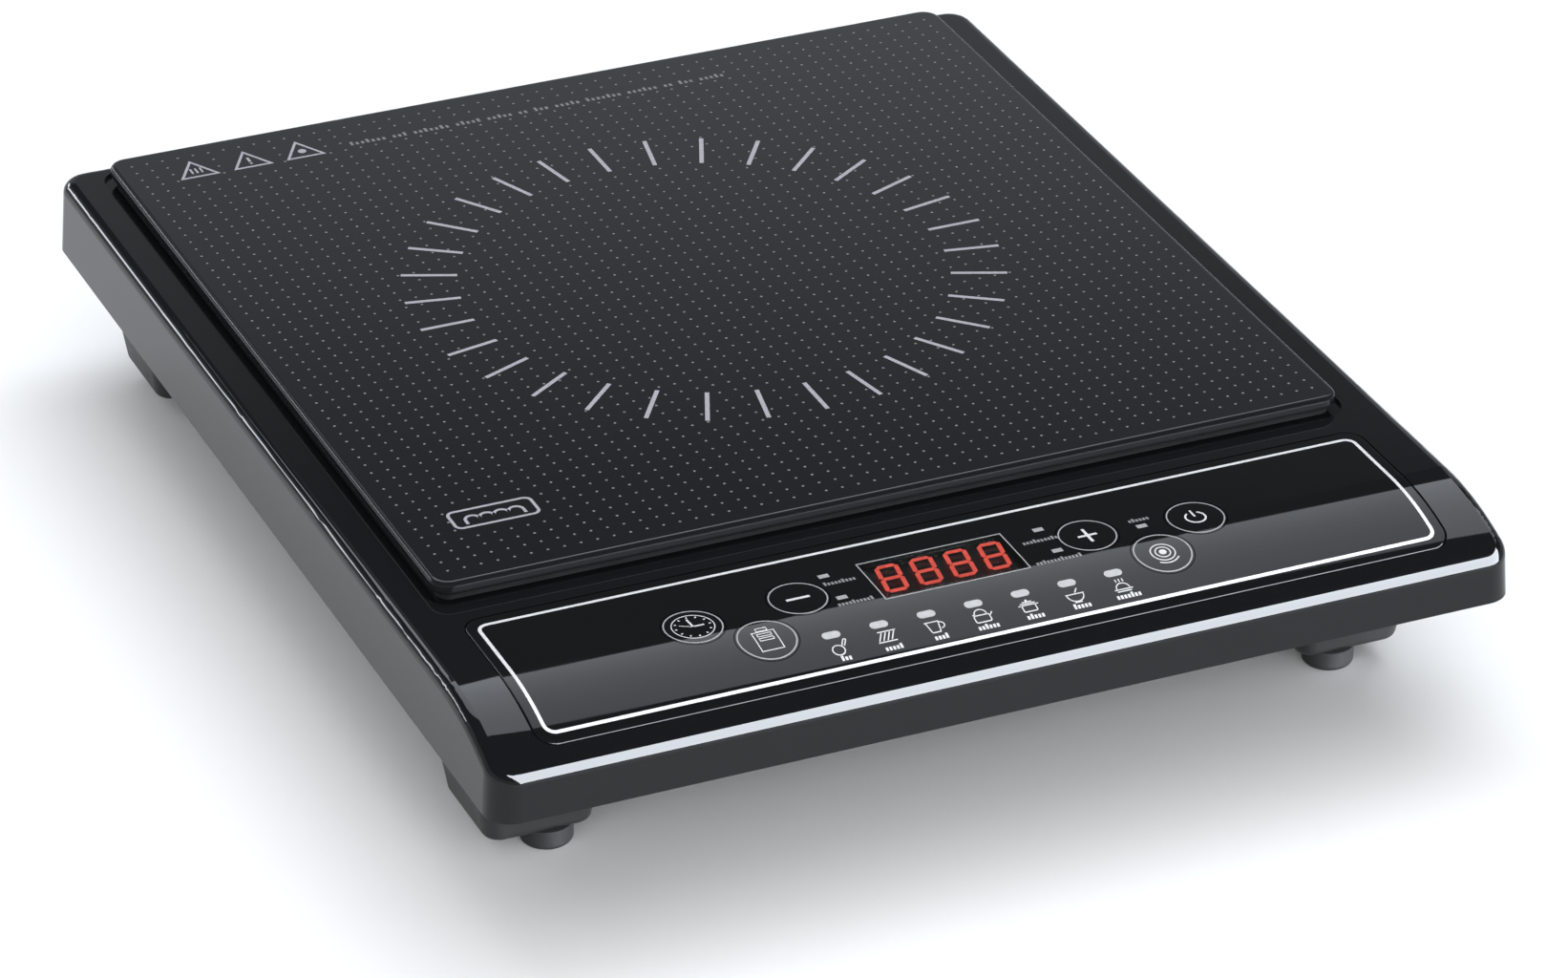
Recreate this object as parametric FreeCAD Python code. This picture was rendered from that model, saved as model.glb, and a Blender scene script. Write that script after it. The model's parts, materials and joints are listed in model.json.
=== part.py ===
import FreeCAD, Part
import math
import os

# Portable induction cooktop, millimetres, +Z up, front panel towards -Y.
# The origin is on the standing surface, under the middle of the housing.

os.makedirs("parts", exist_ok=True)

Vector = FreeCAD.Vector

# ---- overall sizes ----
housing_width = 300.0
housing_depth = 358.0
overall_height = 64.5

# ---- upper housing ----
housing_wall = 2.5
side_wall_height = 22.5
side_draft = 1.2
corner_radius = 8.0
top_edge_radius = 3.6
front_curve_run = 38.0
front_curve_radius = 74.6

# ---- glass plate and its seat ----
glass_side_margin = 14.5
glass_rear_margin = 8.0
glass_panel_gap = 11.6
glass_thickness = 4.0
glass_corner_radius = 5.5
glass_edge_radius = 1.4
glass_proud = 5.0
glass_recess_margin = 2.0
glass_recess_depth = 1.0
window_ledge = 16.0
gasket_inset = 2.0
gasket_width = 9.0

# ---- bottom case ----
case_wall = 2.5
case_gap = 0.3
case_rim_height = 4.0
case_rim_rounding = 2.0
case_depth_below_housing = 19.0
case_side_inset = 13.5
case_front_inset = 35.0
case_rear_inset = 19.0
case_floor_corner = 14.0

# ---- corner pads and rubber feet ----
pad_width = 30.6
pad_length = 33.0
pad_side_inset = 13.4
pad_front_inset = 38.7
pad_rear_inset = 21.7
pad_draft = 2.2
pad_corner_radius = 5.0
pad_edge_radius = 2.4
foot_height = 6.0
foot_radius = 7.3
foot_side_inset = 32.5
foot_end_inset = 45.5
foot_stem_radius = 2.4
foot_stem_gap = 0.1
foot_head_radius = 3.7
foot_pocket_radius = 4.3
foot_pad_floor = 2.5
foot_edge_radius = 1.6
foot_stem_rise = 2.0
foot_head_height = 2.2
foot_dimple_depth = 0.8

# ---- control panel ----
panel_width = 267.0
panel_length = 57.4
panel_front_inset = 8.0
panel_corner_radius = 5.5
panel_groove = 0.4
panel_edge_radius = 0.3
overlay_thickness = 1.2
cluster_x = -3.4
key_radius = 8.6
key_gap = 0.25
key_opening_gap = 0.6
key_travel = 0.5
key_stem_radius = 2.5
outer_key_span = 74.2
outer_key_row = 39.2
inner_key_span = 58.2
inner_key_row = 27.0
step_key_span = 42.8
step_key_row = 41.8
display_width = 42.6
display_length = 19.4
display_row = 42.2
display_fit_gap = 0.1
module_side_gap = 0.5
module_end_gap = 1.0
module_chamfer = 0.6
pill_width = 5.2
pill_length = 2.6
pill_pitch = 13.8
pill_count = 7
pill_row = 23.2
lamp_width = 3.0
lamp_length = 1.8
lamp_span = 31.8
lamp_rear_row = 49.8
lamp_front_row = 37.7
power_lamp_x = 55.2
power_lamp_row = 40.6
lens_fit_gap = 0.05

# ---- control board under the panel ----
board_thickness = 1.6
control_board_gap = 7.4
control_board_width = 218.0
control_board_length = 46.0
control_board_row = 37.0
control_boss_radius = 3.5
control_boss_span = 101.0
control_boss_rows = (21.0, 54.0)
switch_size = 6.0
switch_height = 3.5
switch_button_radius = 1.7
switch_button_gap = 0.1
switch_button_height = 1.8
switch_button_proud = 0.8
display_height = 7.6
led_radius = 1.3
led_height = 4.2
led_collar = 0.3
led_collar_height = 0.8
buzzer_radius = 6.0
buzzer_height = 6.0
buzzer_hole_radius = 1.0
buzzer_lid = 1.5

# ---- induction coil ----
coil_inner_radius = 24.0
coil_turns = 17
coil_pitch = 3.5
coil_wire_width = 3.1
coil_wire_height = 4.5
mica_thickness = 0.6
former_thickness = 3.0
former_radius = 88.0
former_post_circle = 93.0
former_lug_radius = 7.0
ferrite_length = 52.0
ferrite_width = 12.0
ferrite_height = 5.0
ferrite_count = 8
ferrite_start_radius = 30.0
ferrite_channel_wall = 1.5
sensor_radius = 8.0
sensor_rim = 1.5
sensor_rim_height = 2.0
sensor_hole_gap = 1.0
mica_inset = 1.0
coil_post_radius = 5.0

# ---- cooling fan ----
fan_size = 80.0
fan_height = 20.0
fan_x = 70.0
fan_behind_coil = 49.5
fan_foot_height = 2.0
fan_bore_radius = 38.0
fan_blade_radius = 36.4
fan_hub_radius = 16.0
fan_hub_wall = 1.6
fan_blade_count = 7
fan_blade_pitch = 32.0
fan_screw_span = 35.75
fan_base_radius = 15.0
fan_base_thickness = 3.0
fan_strut_width = 4.0
fan_shaft_radius = 1.5
fan_shaft_gap = 0.05
fan_stator_radius = 12.0
fan_post_radius = 3.5
fan_corner_radius = 4.0
fan_flange = 4.0
fan_bore_wall = 1.8
fan_corner_boss_radius = 4.2
fan_strut_count = 3
fan_tube_radius = 4.0
fan_tube_height = 12.0
fan_core_height = 9.0
fan_pole_width = 5.0
fan_pole_lift = 2.0
fan_plate_thickness = 1.2
fan_rotor_drop = 1.0
fan_rotor_lift = 2.0
fan_hub_edge_radius = 1.0
fan_blade_chord = 26.0
fan_blade_thickness = 1.4
fan_blade_root = 3.0
fan_socket_radius = 3.0
fan_socket_gap = 0.6
fan_shaft_lift = 0.3

# ---- power board ----
power_board_x = (-120.0, 22.0)
power_board_y = (-122.5, 115.5)
power_board_lift = 4.5
post_hole_gap = 1.5
standoff_radius = 3.5
standoffs = ((-114.0, -118.5), (16.0, -117.5), (-114.0, 63.5), (16.0, 109.5), (-45.0, -4.5), (-50.0, 107.5))

# ---- screws ----
screw_radius = 1.75
screw_head_radius = 3.4
screw_head_height = 2.2
small_screw_radius = 1.25
small_screw_head_radius = 2.5
small_screw_head_height = 1.6
control_screw_depth = 4.0
power_screw_depth = 5.0
coil_screw_depth = 8.0
fan_screw_depth = 1.2
case_screw_depth = 8.0
case_post_radius = 5.5
case_post_top_drop = 15.0
case_screw_recess = 4.6
case_screw_side_inset = 24.0
case_screw_front_row = 83.0
case_screw_rear_inset = 71.0
strip_screw_x = 70.0
strip_screw_row = 75.0

# ---- mains cord gland ----
gland_x = -98.0
gland_bore_radius = 3.6
gland_neck_radius = 6.0
gland_flange_radius = 7.9
gland_flange_thickness = 2.0
gland_sleeve_length = 4.0
gland_block_width = 26.0
gland_block_setback = 3.0
gland_below_middle = 0.05

# ---- vent slots ----
slot_width = 3.2
slot_pitch = 6.4
slot_rib = 3.0
grille_margin = 1.5
grille_inset = 2.0
rear_slot_margins = (2.0, 4.0)

# ---- small parts on the control board ----
buzzer_span = 88.0
buzzer_row = 52.5
chip_span = 75.0
chip_row = 20.0
chip_width = 18.0
chip_length = 6.0
chip_legs = 10
chip_z = (0.4, 2.6)
chip_leg_width = 0.5
chip_leg_reach = 1.2
chip_leg_height = 1.2

# ---- ribbon between the boards ----
ribbon_x = -23.0
ribbon_width = 14.0
ribbon_thickness = 1.0
ribbon_bend = 3.0
ribbon_upper_row = 57.5
ribbon_before_coil = 119.7
connector_height = 5.0
connector_margin = 2.0
connector_length = 5.0

# ---- parts on the power board ----
sink_x = (-114.0, -60.0)
sink_behind_coil = 85.5
sink_length = 28.0
sink_height = 28.0
sink_plate = 4.0
sink_fin = 1.4
sink_fin_pitch = 4.4
sink_foot = 1.0
device_lift = 3.0
device_pin_width = 1.2
device_pin_thickness = 0.8
transistor_x = -76.0
transistor_size = (16.0, 20.0, 4.6)
transistor_legs = 3
rectifier_x = -100.0
rectifier_size = (22.0, 17.0, 4.2)
rectifier_legs = 4
resonant_place = (-99.0, -103.0)
resonant_size = (32.0, 18.0, 26.0)
filter_place = (-62.5, -112.0)
filter_size = (30.0, 15.0, 24.0)
mains_place = (-24.0, -109.5)
mains_size = (22.0, 9.0, 18.0)
box_edge_radius = 1.2
mains_edge_radius = 1.0
choke_place = (-97.0, -68.5)
choke_ring_radius = 11.0
choke_section = 4.5
choke_turns = 14
choke_wire_gap = 0.2
choke_wire_radius = 0.9
choke_foot_side = 6.0
choke_foot_height = 2.0
can_edge_radius = 0.6
can_places = ((6.0, -110.5, 5.0, 16.0), (-110.0, -36.5, 4.0, 12.0), (-109.0, 39.5, 5.0, 14.0))
transformer_place = (-106.0, -16.5)
core_size = (18.0, 14.0)
core_z = (2.0, 16.0)
bobbin_size = (12.0, 20.0, 13.0)
fuse_place = (-113.0, 13.5)
fuse_radius = 2.6
fuse_length = 20.0
fuse_lift = 4.5
fuse_clip_size = (7.0, 4.5, 5.5)
fuse_clip_span = 8.0
terminal_radius = 2.6
terminal_height = 6.0
lead_radius = 1.6
lead_bend = 6.0
lead_routes = (((-62.0, -60.5), (-80.0, -80.5)), ((-40.0, -77.5), (-56.0, -92.5)))
sensor_bead_height = 1.5

# ---- vents and gland block ----
sink_slot_x = (-104.0, -58.0)
sink_slot_y = (49.5, 83.5)
rear_slot_x = (-70.0, 80.0)
gland_block_length = 22.0

# ---- levels and places that follow ----
front = -housing_depth / 2
rear = housing_depth / 2
top_z = overall_height - glass_proud
edge_z = top_z - side_wall_height
case_z = edge_z - case_depth_below_housing
pad_z = foot_height
floor_z = case_z + case_wall
glass_z = overall_height - glass_thickness
glass_width = housing_width - 2 * glass_side_margin
glass_front = front + panel_front_inset + panel_length + glass_panel_gap
glass_depth = rear - glass_rear_margin - glass_front
glass_y = glass_front + glass_depth / 2
skin_z = top_z - housing_wall
control_top_z = skin_z - control_board_gap
mica_z = glass_z - mica_thickness
coil_z = mica_z - coil_wire_height
former_z = coil_z - former_thickness
ferrite_z = former_z - ferrite_height
power_board_z = floor_z + power_board_lift
power_top_z = power_board_z + board_thickness
fan_z = floor_z + fan_foot_height
fan_y = glass_y + fan_behind_coil
post_split_z = skin_z - case_post_top_drop
panel_y = front + panel_front_inset + panel_length / 2
switch_top_z = control_top_z + switch_height + switch_button_proud
sink_y = glass_y + sink_behind_coil
ribbon_upper_y = front + ribbon_upper_row
ribbon_lower_y = glass_y - ribbon_before_coil
gland_block_rear = rear - gland_block_setback
gland_block_front = gland_block_rear - gland_block_length
gland_z = (floor_z + edge_z) / 2 - gland_below_middle

saved = []


def save(name, shape):
    """Write one named piece as its own file."""
    saved.append(name)
    shape.exportStep("parts/" + name + ".step")


def box(x, y, z):
    """Box from three (low, high) pairs."""
    low = Vector(x[0], y[0], z[0])
    return Part.makeBox(x[1] - x[0], y[1] - y[0], z[1] - z[0], low)


def centred_box(width, length, x, y, z):
    """Box centred on x and y between the two heights in z."""
    return box((x - width / 2, x + width / 2), (y - length / 2, y + length / 2), z)


def cylinder(radius, x, y, z):
    """Upright cylinder between the two heights in z."""
    return Part.makeCylinder(radius, z[1] - z[0], Vector(x, y, z[0]))


def rounded_outline(width, length, radius, x, y, z):
    """Closed rounded rectangle at one height."""
    half_x = width / 2 - radius
    half_y = length / 2 - radius
    corners = ((1, -1, -90), (1, 1, 0), (-1, 1, 90), (-1, -1, 180))
    edges = []
    last = None
    first = None
    for side_x, side_y, start in corners:
        centre = Vector(x + side_x * half_x, y + side_y * half_y, z)
        points = []
        for turn in (0, 45, 90):
            angle = math.radians(start + turn)
            points.append(centre + Vector(radius * math.cos(angle), radius * math.sin(angle), 0))
        if last is not None:
            edges.append(Part.LineSegment(last, points[0]).toShape())
        else:
            first = points[0]
        edges.append(Part.Arc(*points).toShape())
        last = points[2]
    edges.append(Part.LineSegment(last, first).toShape())
    return Part.Wire(edges)


def rounded_block(width, length, radius, x, y, z):
    """Upright block with a rounded-rectangle outline."""
    outline = rounded_outline(width, length, radius, x, y, z[0])
    return Part.Face(outline).extrude(Vector(0, 0, z[1] - z[0]))


def tapered_block(low, high, z):
    """Block between two rounded rectangles, each (width, length, radius, x, y)."""
    outlines = [rounded_outline(*low, z[0]), rounded_outline(*high, z[1])]
    return Part.makeLoft(outlines, True, True)


def fuse_all(shape, others):
    """One solid from a shape and the pieces that are part of it."""
    return shape.fuse(others).removeSplitter()


def pan_screw(x, y, seat_z, length, radius, head_radius, head_height, upwards):
    """Cross-head screw: its head sits on seat_z and its shank runs up or down from there."""
    side = 1 if upwards else -1
    shank = cylinder(radius, x, y, sorted((seat_z, seat_z + side * length)))
    head = cylinder(head_radius, x, y, sorted((seat_z, seat_z - side * head_height)))
    screw = shank.fuse(head).removeSplitter()
    slot = sorted((seat_z - side * head_height, seat_z - side * head_height * 0.4))
    arm = head_radius * 1.1
    cross = centred_box(arm, arm / 4, x, y, slot).fuse(centred_box(arm / 4, arm, x, y, slot))
    return screw.cut(cross)


def small_screw(x, y, seat_z, length, upwards):
    """Small cross-head screw of the boards, the coil and the fan."""
    sizes = (small_screw_radius, small_screw_head_radius, small_screw_head_height)
    return pan_screw(x, y, seat_z, length, *sizes, upwards)


# ---- housing form ----

def top_form(inset):
    """Solid under the housing's top face moved down by inset: flat, then curved down at the front."""
    radius = front_curve_radius - inset
    centre_y = front + front_curve_run
    centre_z = top_z - front_curve_radius
    reach = front_curve_run + 1.0
    swing = math.asin(reach / radius)
    low = Vector(0, centre_y - reach, edge_z)
    lip = Vector(0, centre_y - reach, centre_z + radius * math.cos(swing))
    mid = Vector(0, centre_y - radius * math.sin(swing / 2), centre_z + radius * math.cos(swing / 2))
    crest = Vector(0, centre_y, centre_z + radius)
    back = Vector(0, rear + 1.0, centre_z + radius)
    base = Vector(0, rear + 1.0, edge_z)
    edges = [
        Part.LineSegment(low, lip).toShape(),
        Part.Arc(lip, mid, crest).toShape(),
        Part.LineSegment(crest, back).toShape(),
        Part.LineSegment(back, base).toShape(),
        Part.LineSegment(base, low).toShape(),
    ]
    face = Part.Face(Part.Wire(edges))
    face.translate(Vector(-housing_width, 0, 0))
    return face.extrude(Vector(2 * housing_width, 0, 0))


def top_sheet(upper, lower):
    """Layer of the housing's top between two depths below its outer face."""
    return top_form(upper).cut(top_form(lower))


def wall_form(inset):
    """Drafted rounded block that bounds the housing's side walls, moved in by inset."""
    low_width = housing_width - 2 * inset
    low_length = housing_depth - 2 * inset
    radius = corner_radius - inset
    low = (low_width, low_length, radius, 0, 0)
    high = (low_width - 2 * side_draft, low_length - 2 * side_draft, radius, 0, 0)
    return tapered_block(low, high, (edge_z, top_z))


def top_perimeter_edges(form):
    """Edges where the side walls meet the top face."""
    crease_y = front + front_curve_run
    chosen = []
    for edge in form.Edges:
        ends = [vertex.Point for vertex in edge.Vertexes]
        low_end = min(point.z for point in ends)
        rise = max(point.z for point in ends) - low_end
        crease = all(abs(point.y - crease_y) < 0.01 for point in ends)
        flat_run = max(abs(ends[0].x - ends[-1].x), abs(ends[0].y - ends[-1].y))
        upright = rise > flat_run
        if low_end > edge_z + 1.0 and not crease and not upright:
            chosen.append(edge)
    return chosen


def panel_outline(margin, z):
    """Upright block over the control panel's plan outline, grown by margin."""
    width = panel_width + 2 * margin
    length = panel_length + 2 * margin
    return rounded_block(width, length, panel_corner_radius + margin, 0, panel_y, z)


def row(distance):
    """Y of a row that lies this far behind the front wall."""
    return front + distance


def key_places():
    """Name and place of each push key."""
    return (
        ("timer", cluster_x - outer_key_span, row(outer_key_row)),
        ("menu", cluster_x - inner_key_span, row(inner_key_row)),
        ("minus", cluster_x - step_key_span, row(step_key_row)),
        ("plus", cluster_x + step_key_span, row(step_key_row)),
        ("heat", cluster_x + inner_key_span, row(inner_key_row)),
        ("power", cluster_x + outer_key_span, row(outer_key_row)),
    )


def pill_places():
    """Centres of the programme indicator windows."""
    middle = (pill_count - 1) / 2
    return [(cluster_x + (index - middle) * pill_pitch, row(pill_row)) for index in range(pill_count)]


def lamp_places():
    """Centres of the small indicator windows."""
    places = [(power_lamp_x, row(power_lamp_row))]
    for side in (-1, 1):
        for distance in (lamp_rear_row, lamp_front_row):
            places.append((cluster_x + side * lamp_span, row(distance)))
    return places


def lens_blocks(gap, z):
    """Upright blocks over every indicator window, grown by gap."""
    blocks = []
    for x, y in pill_places():
        radius = pill_length / 2 + gap - 0.01
        blocks.append(rounded_block(pill_width + 2 * gap, pill_length + 2 * gap, radius, x, y, z))
    for x, y in lamp_places():
        blocks.append(centred_box(lamp_width + 2 * gap, lamp_length + 2 * gap, x, y, z))
    return blocks


def control_boss_places():
    """Places of the bosses that carry the control board."""
    return [(cluster_x + side * control_boss_span, row(distance))
            for side in (-1, 1) for distance in control_boss_rows]


def case_screw_places():
    """Places of the screws that close the case, in left and right pairs."""
    side_x = housing_width / 2 - case_screw_side_inset
    rows = (row(case_screw_front_row), glass_y, rear - case_screw_rear_inset)
    places = [(side_x, y) for y in rows] + [(strip_screw_x, row(strip_screw_row))]
    return [(side * x, y) for x, y in places for side in (-1, 1)]


def coil_post_places():
    """Places of the posts that carry the coil, a quarter turn apart."""
    places = []
    for quarter in range(4):
        angle = math.radians(90 * quarter)
        x = former_post_circle * math.cos(angle)
        places.append((x, glass_y + former_post_circle * math.sin(angle)))
    return places


def from_coil(place):
    """Place on the power board, given by its distance from the coil's axis."""
    return place[0], glass_y + place[1]


def standoff_places():
    """Places of the posts that carry the power board."""
    return [from_coil(place) for place in standoffs]


def foot_places():
    """Name and place of each rubber foot."""
    x = housing_width / 2 - foot_side_inset
    y = housing_depth / 2 - foot_end_inset
    return (
        ("front_left", -x, -y),
        ("front_right", x, -y),
        ("rear_left", -x, y),
        ("rear_right", x, y),
    )


def upper_housing():
    """Gloss shell with the glass seat, the panel pocket and its bosses."""
    outer = wall_form(0).common(top_form(0))
    outer = outer.makeFillet(top_edge_radius, top_perimeter_edges(outer))
    inner = wall_form(housing_wall).common(top_form(housing_wall))
    shell = outer.cut(inner)
    recess_width = glass_width + 2 * glass_recess_margin
    recess_length = glass_depth + 2 * glass_recess_margin
    recess_radius = glass_corner_radius + glass_recess_margin
    recess_z = (top_z - glass_recess_depth, top_z + 1.0)
    shell = shell.cut(rounded_block(recess_width, recess_length, recess_radius, 0, glass_y, recess_z))
    window_width = glass_width - 2 * window_ledge
    window_length = glass_depth - 2 * window_ledge
    window_z = (edge_z, top_z + 1.0)
    shell = shell.cut(rounded_block(window_width, window_length, glass_corner_radius, 0, glass_y, window_z))
    tall = (edge_z, top_z + 2.0)
    pocket = panel_outline(panel_groove, tall).cut(top_form(overlay_thickness))
    shell = shell.cut(pocket)
    bosses = []
    for x, y in control_boss_places():
        bosses.append(cylinder(control_boss_radius, x, y, (control_top_z, top_z)))
    for x, y in case_screw_places():
        bosses.append(cylinder(case_post_radius, x, y, (post_split_z, skin_z + 0.5)))
    under_pocket = top_form(overlay_thickness + 0.3)
    shell = fuse_all(shell, [boss.common(under_pocket) for boss in bosses])
    cuts = []
    for x, y in control_boss_places():
        cuts.append(cylinder(small_screw_radius, x, y, (control_top_z, skin_z - 3.0)))
    for x, y in case_screw_places():
        cuts.append(cylinder(screw_radius, x, y, (post_split_z, skin_z - 2.0)))
    for name, x, y in key_places():
        cuts.append(cylinder(key_radius + key_opening_gap, x, y, tall))
    opening_width = display_width + 2 * display_fit_gap
    opening_length = display_length + 2 * display_fit_gap
    cuts.append(centred_box(opening_width, opening_length, cluster_x, row(display_row), tall))
    cuts.extend(lens_blocks(lens_fit_gap, tall))
    return shell.cut(cuts)


def glass_plate():
    """Ceramic glass plate with a polished, rounded edge."""
    z = (glass_z, overall_height)
    plate = rounded_block(glass_width, glass_depth, glass_corner_radius, 0, glass_y, z)
    rims = [edge for edge in plate.Edges if edge.Length > 1.0 and edge.BoundBox.ZLength < 0.01]
    return plate.makeFillet(glass_edge_radius, rims)


def glass_gasket():
    """Silicone bead between the glass plate and its seat."""
    z = (top_z - glass_recess_depth, glass_z)
    width = glass_width - 2 * gasket_inset
    length = glass_depth - 2 * gasket_inset
    radius = glass_corner_radius - gasket_inset
    outer = rounded_block(width, length, radius, 0, glass_y, z)
    inner_radius = radius / 2
    inner = rounded_block(width - 2 * gasket_width, length - 2 * gasket_width, inner_radius, 0, glass_y, z)
    return outer.cut(inner)


def panel_overlay():
    """Glossy panel cover that follows the housing's flat and curved top."""
    tall = (edge_z, top_z + 2.0)
    sheet = top_sheet(0, overlay_thickness).common(panel_outline(0, tall))
    rims = []
    for edge in sheet.Edges:
        ends = [vertex.Point for vertex in edge.Vertexes]
        surface = all(on_top_face(point) for point in ends)
        crease_y = front + front_curve_run
        crease = all(abs(point.y - crease_y) < 0.01 for point in ends)
        if surface and not crease:
            rims.append(edge)
    sheet = sheet.makeFillet(panel_edge_radius, rims)
    cuts = [cylinder(key_radius + key_gap, x, y, tall) for name, x, y in key_places()]
    opening_width = display_width + 2 * display_fit_gap
    opening_length = display_length + 2 * display_fit_gap
    cuts.append(centred_box(opening_width, opening_length, cluster_x, row(display_row), tall))
    cuts.extend(lens_blocks(lens_fit_gap, tall))
    return sheet.cut(cuts)


def on_top_face(point):
    """Whether a point lies on the housing's outer top face."""
    run = max(0.0, front + front_curve_run - point.y)
    drop = front_curve_radius - math.sqrt(front_curve_radius ** 2 - run ** 2)
    return abs(point.z - (top_z - drop)) < 0.02


def push_key(x, y):
    """Round key pad, flush with the panel, on a stem that reaches its switch."""
    tall = (edge_z, top_z + 2.0)
    pad = top_sheet(0, overlay_thickness).common(cylinder(key_radius, x, y, tall))
    stem = cylinder(key_stem_radius, x, y, (switch_top_z, top_z + 1.0))
    stem = stem.common(top_form(overlay_thickness / 2))
    return fuse_all(pad, [stem])


def switch_bodies():
    """Fixed bodies of the tact switches, each with a well for its button."""
    base_z = control_top_z
    solids = []
    for name, x, y in key_places():
        body = centred_box(switch_size, switch_size, x, y, (base_z, base_z + switch_height))
        well_z = (switch_top_z - switch_button_height - key_travel - 0.2, switch_top_z)
        well = cylinder(switch_button_radius + switch_button_gap, x, y, well_z)
        solids.append(body.cut(well))
    return Part.makeCompound(solids)


def switch_button(x, y):
    """Sprung button of one tact switch."""
    return cylinder(switch_button_radius, x, y, (switch_top_z - switch_button_height, switch_top_z))


def display_window():
    """Clear window over the digits, flush with the panel."""
    tall = (edge_z, top_z + 2.0)
    plan = centred_box(display_width, display_length, cluster_x, row(display_row), tall)
    return top_sheet(0, overlay_thickness).common(plan)


def indicator_lenses():
    """Small windows that carry light from the lamps up to the panel's face."""
    sheet = top_sheet(0, housing_wall)
    tall = (edge_z, top_z + 2.0)
    return Part.makeCompound([sheet.common(block) for block in lens_blocks(0, tall)])


def display_module():
    """Four-digit display block on the control board."""
    z = (control_top_z, control_top_z + display_height)
    width = display_width - 2 * module_side_gap
    length = display_length - 2 * module_end_gap
    block = centred_box(width, length, cluster_x, row(display_row), z)
    return block.makeChamfer(module_chamfer, [edge for edge in block.Edges if edge.BoundBox.ZLength > 1.0])


def indicator_leds():
    """Domed lamps on the control board, one under each indicator window."""
    solids = []
    for x, y in pill_places() + lamp_places():
        stem = cylinder(led_radius, x, y, (control_top_z, control_top_z + led_height))
        dome = Part.makeSphere(led_radius, Vector(x, y, control_top_z + led_height))
        collar = cylinder(led_radius + led_collar, x, y, (control_top_z, control_top_z + led_collar_height))
        solids.append(stem.fuse([dome, collar]).removeSplitter())
    return Part.makeCompound(solids)


def control_board():
    """Circuit board that hangs from the housing under the panel."""
    z = (control_top_z - board_thickness, control_top_z)
    y = row(control_board_row)
    board = centred_box(control_board_width, control_board_length, cluster_x, y, z)
    holes = [cylinder(small_screw_radius, hx, hy, z) for hx, hy in control_boss_places()]
    return board.cut(holes)


def control_board_screws():
    """Screws from below that hold the control board to its bosses."""
    seat = control_top_z - board_thickness
    length = board_thickness + control_screw_depth
    return Part.makeCompound([
        small_screw(x, y, seat, length, True)
        for x, y in control_boss_places()])


def buzzer():
    """Round sounder on the control board with a hole in its lid."""
    x = cluster_x + buzzer_span
    y = row(buzzer_row)
    z = (control_top_z, control_top_z + buzzer_height)
    hole = cylinder(buzzer_hole_radius, x, y, (z[1] - buzzer_lid, z[1]))
    return cylinder(buzzer_radius, x, y, z).cut(hole)


def control_chip():
    """Controller chip with its legs, on top of the control board."""
    x = cluster_x - chip_span
    y = row(chip_row)
    body = centred_box(chip_width, chip_length, x, y, (control_top_z + chip_z[0], control_top_z + chip_z[1]))
    leg_length = chip_length + 2 * chip_leg_reach
    legs = []
    for index in range(chip_legs):
        leg_x = x + (index - (chip_legs - 1) / 2) * chip_width / (chip_legs + 1)
        leg_z = (control_top_z, control_top_z + chip_leg_height)
        legs.append(centred_box(chip_leg_width, leg_length, leg_x, y, leg_z))
    return fuse_all(body, legs)


def ribbon_connectors():
    """Sockets at both ends of the ribbon: one under the control board, one on the power board."""
    width = ribbon_width + 2 * connector_margin
    under_z = control_top_z - board_thickness
    upper_z = (under_z - connector_height, under_z)
    upper = centred_box(width, connector_length, ribbon_x, ribbon_upper_y, upper_z)
    lower_z = (power_top_z, power_top_z + connector_height)
    lower = centred_box(width, connector_length, ribbon_x, ribbon_lower_y, lower_z)
    return Part.makeCompound([upper, lower])


def bent_path(points, radius):
    """Straight runs joined by tangent arcs of one radius."""
    edges = []
    start = points[0]
    for before, corner, after in zip(points, points[1:], points[2:]):
        back = (before - corner).normalize()
        ahead = (after - corner).normalize()
        half = back.getAngle(ahead) / 2
        setback = radius / math.tan(half)
        middle = (back + ahead).normalize() * (radius / math.sin(half) - radius)
        edges.append(Part.LineSegment(start, corner + back * setback).toShape())
        arc = Part.Arc(corner + back * setback, corner + middle, corner + ahead * setback)
        edges.append(arc.toShape())
        start = corner + ahead * setback
    edges.append(Part.LineSegment(start, points[-1]).toShape())
    return Part.Wire(edges)


def swept(path, section):
    """Solid of a closed section swept along a bent path."""
    return path.makePipeShell([section], True, True)


def ribbon_cable():
    """Flat cable from the control board to the power board."""
    top = control_top_z - board_thickness - connector_height
    low = power_top_z + connector_height
    level = (top + low) / 2
    points = [Vector(ribbon_x, ribbon_upper_y, top), Vector(ribbon_x, ribbon_upper_y, level)]
    points += [Vector(ribbon_x, ribbon_lower_y, level), Vector(ribbon_x, ribbon_lower_y, low)]
    half_x = ribbon_width / 2
    half_y = ribbon_thickness / 2
    corners = [Vector(ribbon_x + sx * half_x, ribbon_upper_y + sy * half_y, top)
               for sx, sy in ((-1, -1), (1, -1), (1, 1), (-1, 1), (-1, -1))]
    return swept(bent_path(points, ribbon_bend), Part.makePolygon(corners))


# ---- bottom case ----

def case_taper(inset):
    """Tray form of the bottom case, every face moved in by inset."""
    rim_inset = housing_wall + case_gap + inset
    rim_radius = corner_radius - rim_inset + case_rim_rounding
    rim = (housing_width - 2 * rim_inset, housing_depth - 2 * rim_inset, rim_radius, 0, 0)
    width = housing_width - 2 * case_side_inset - 2 * inset
    length = housing_depth - case_front_inset - case_rear_inset - 2 * inset
    centre_y = (case_front_inset - case_rear_inset) / 2
    base = (width, length, case_floor_corner - inset, 0, centre_y)
    return rim, base


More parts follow.
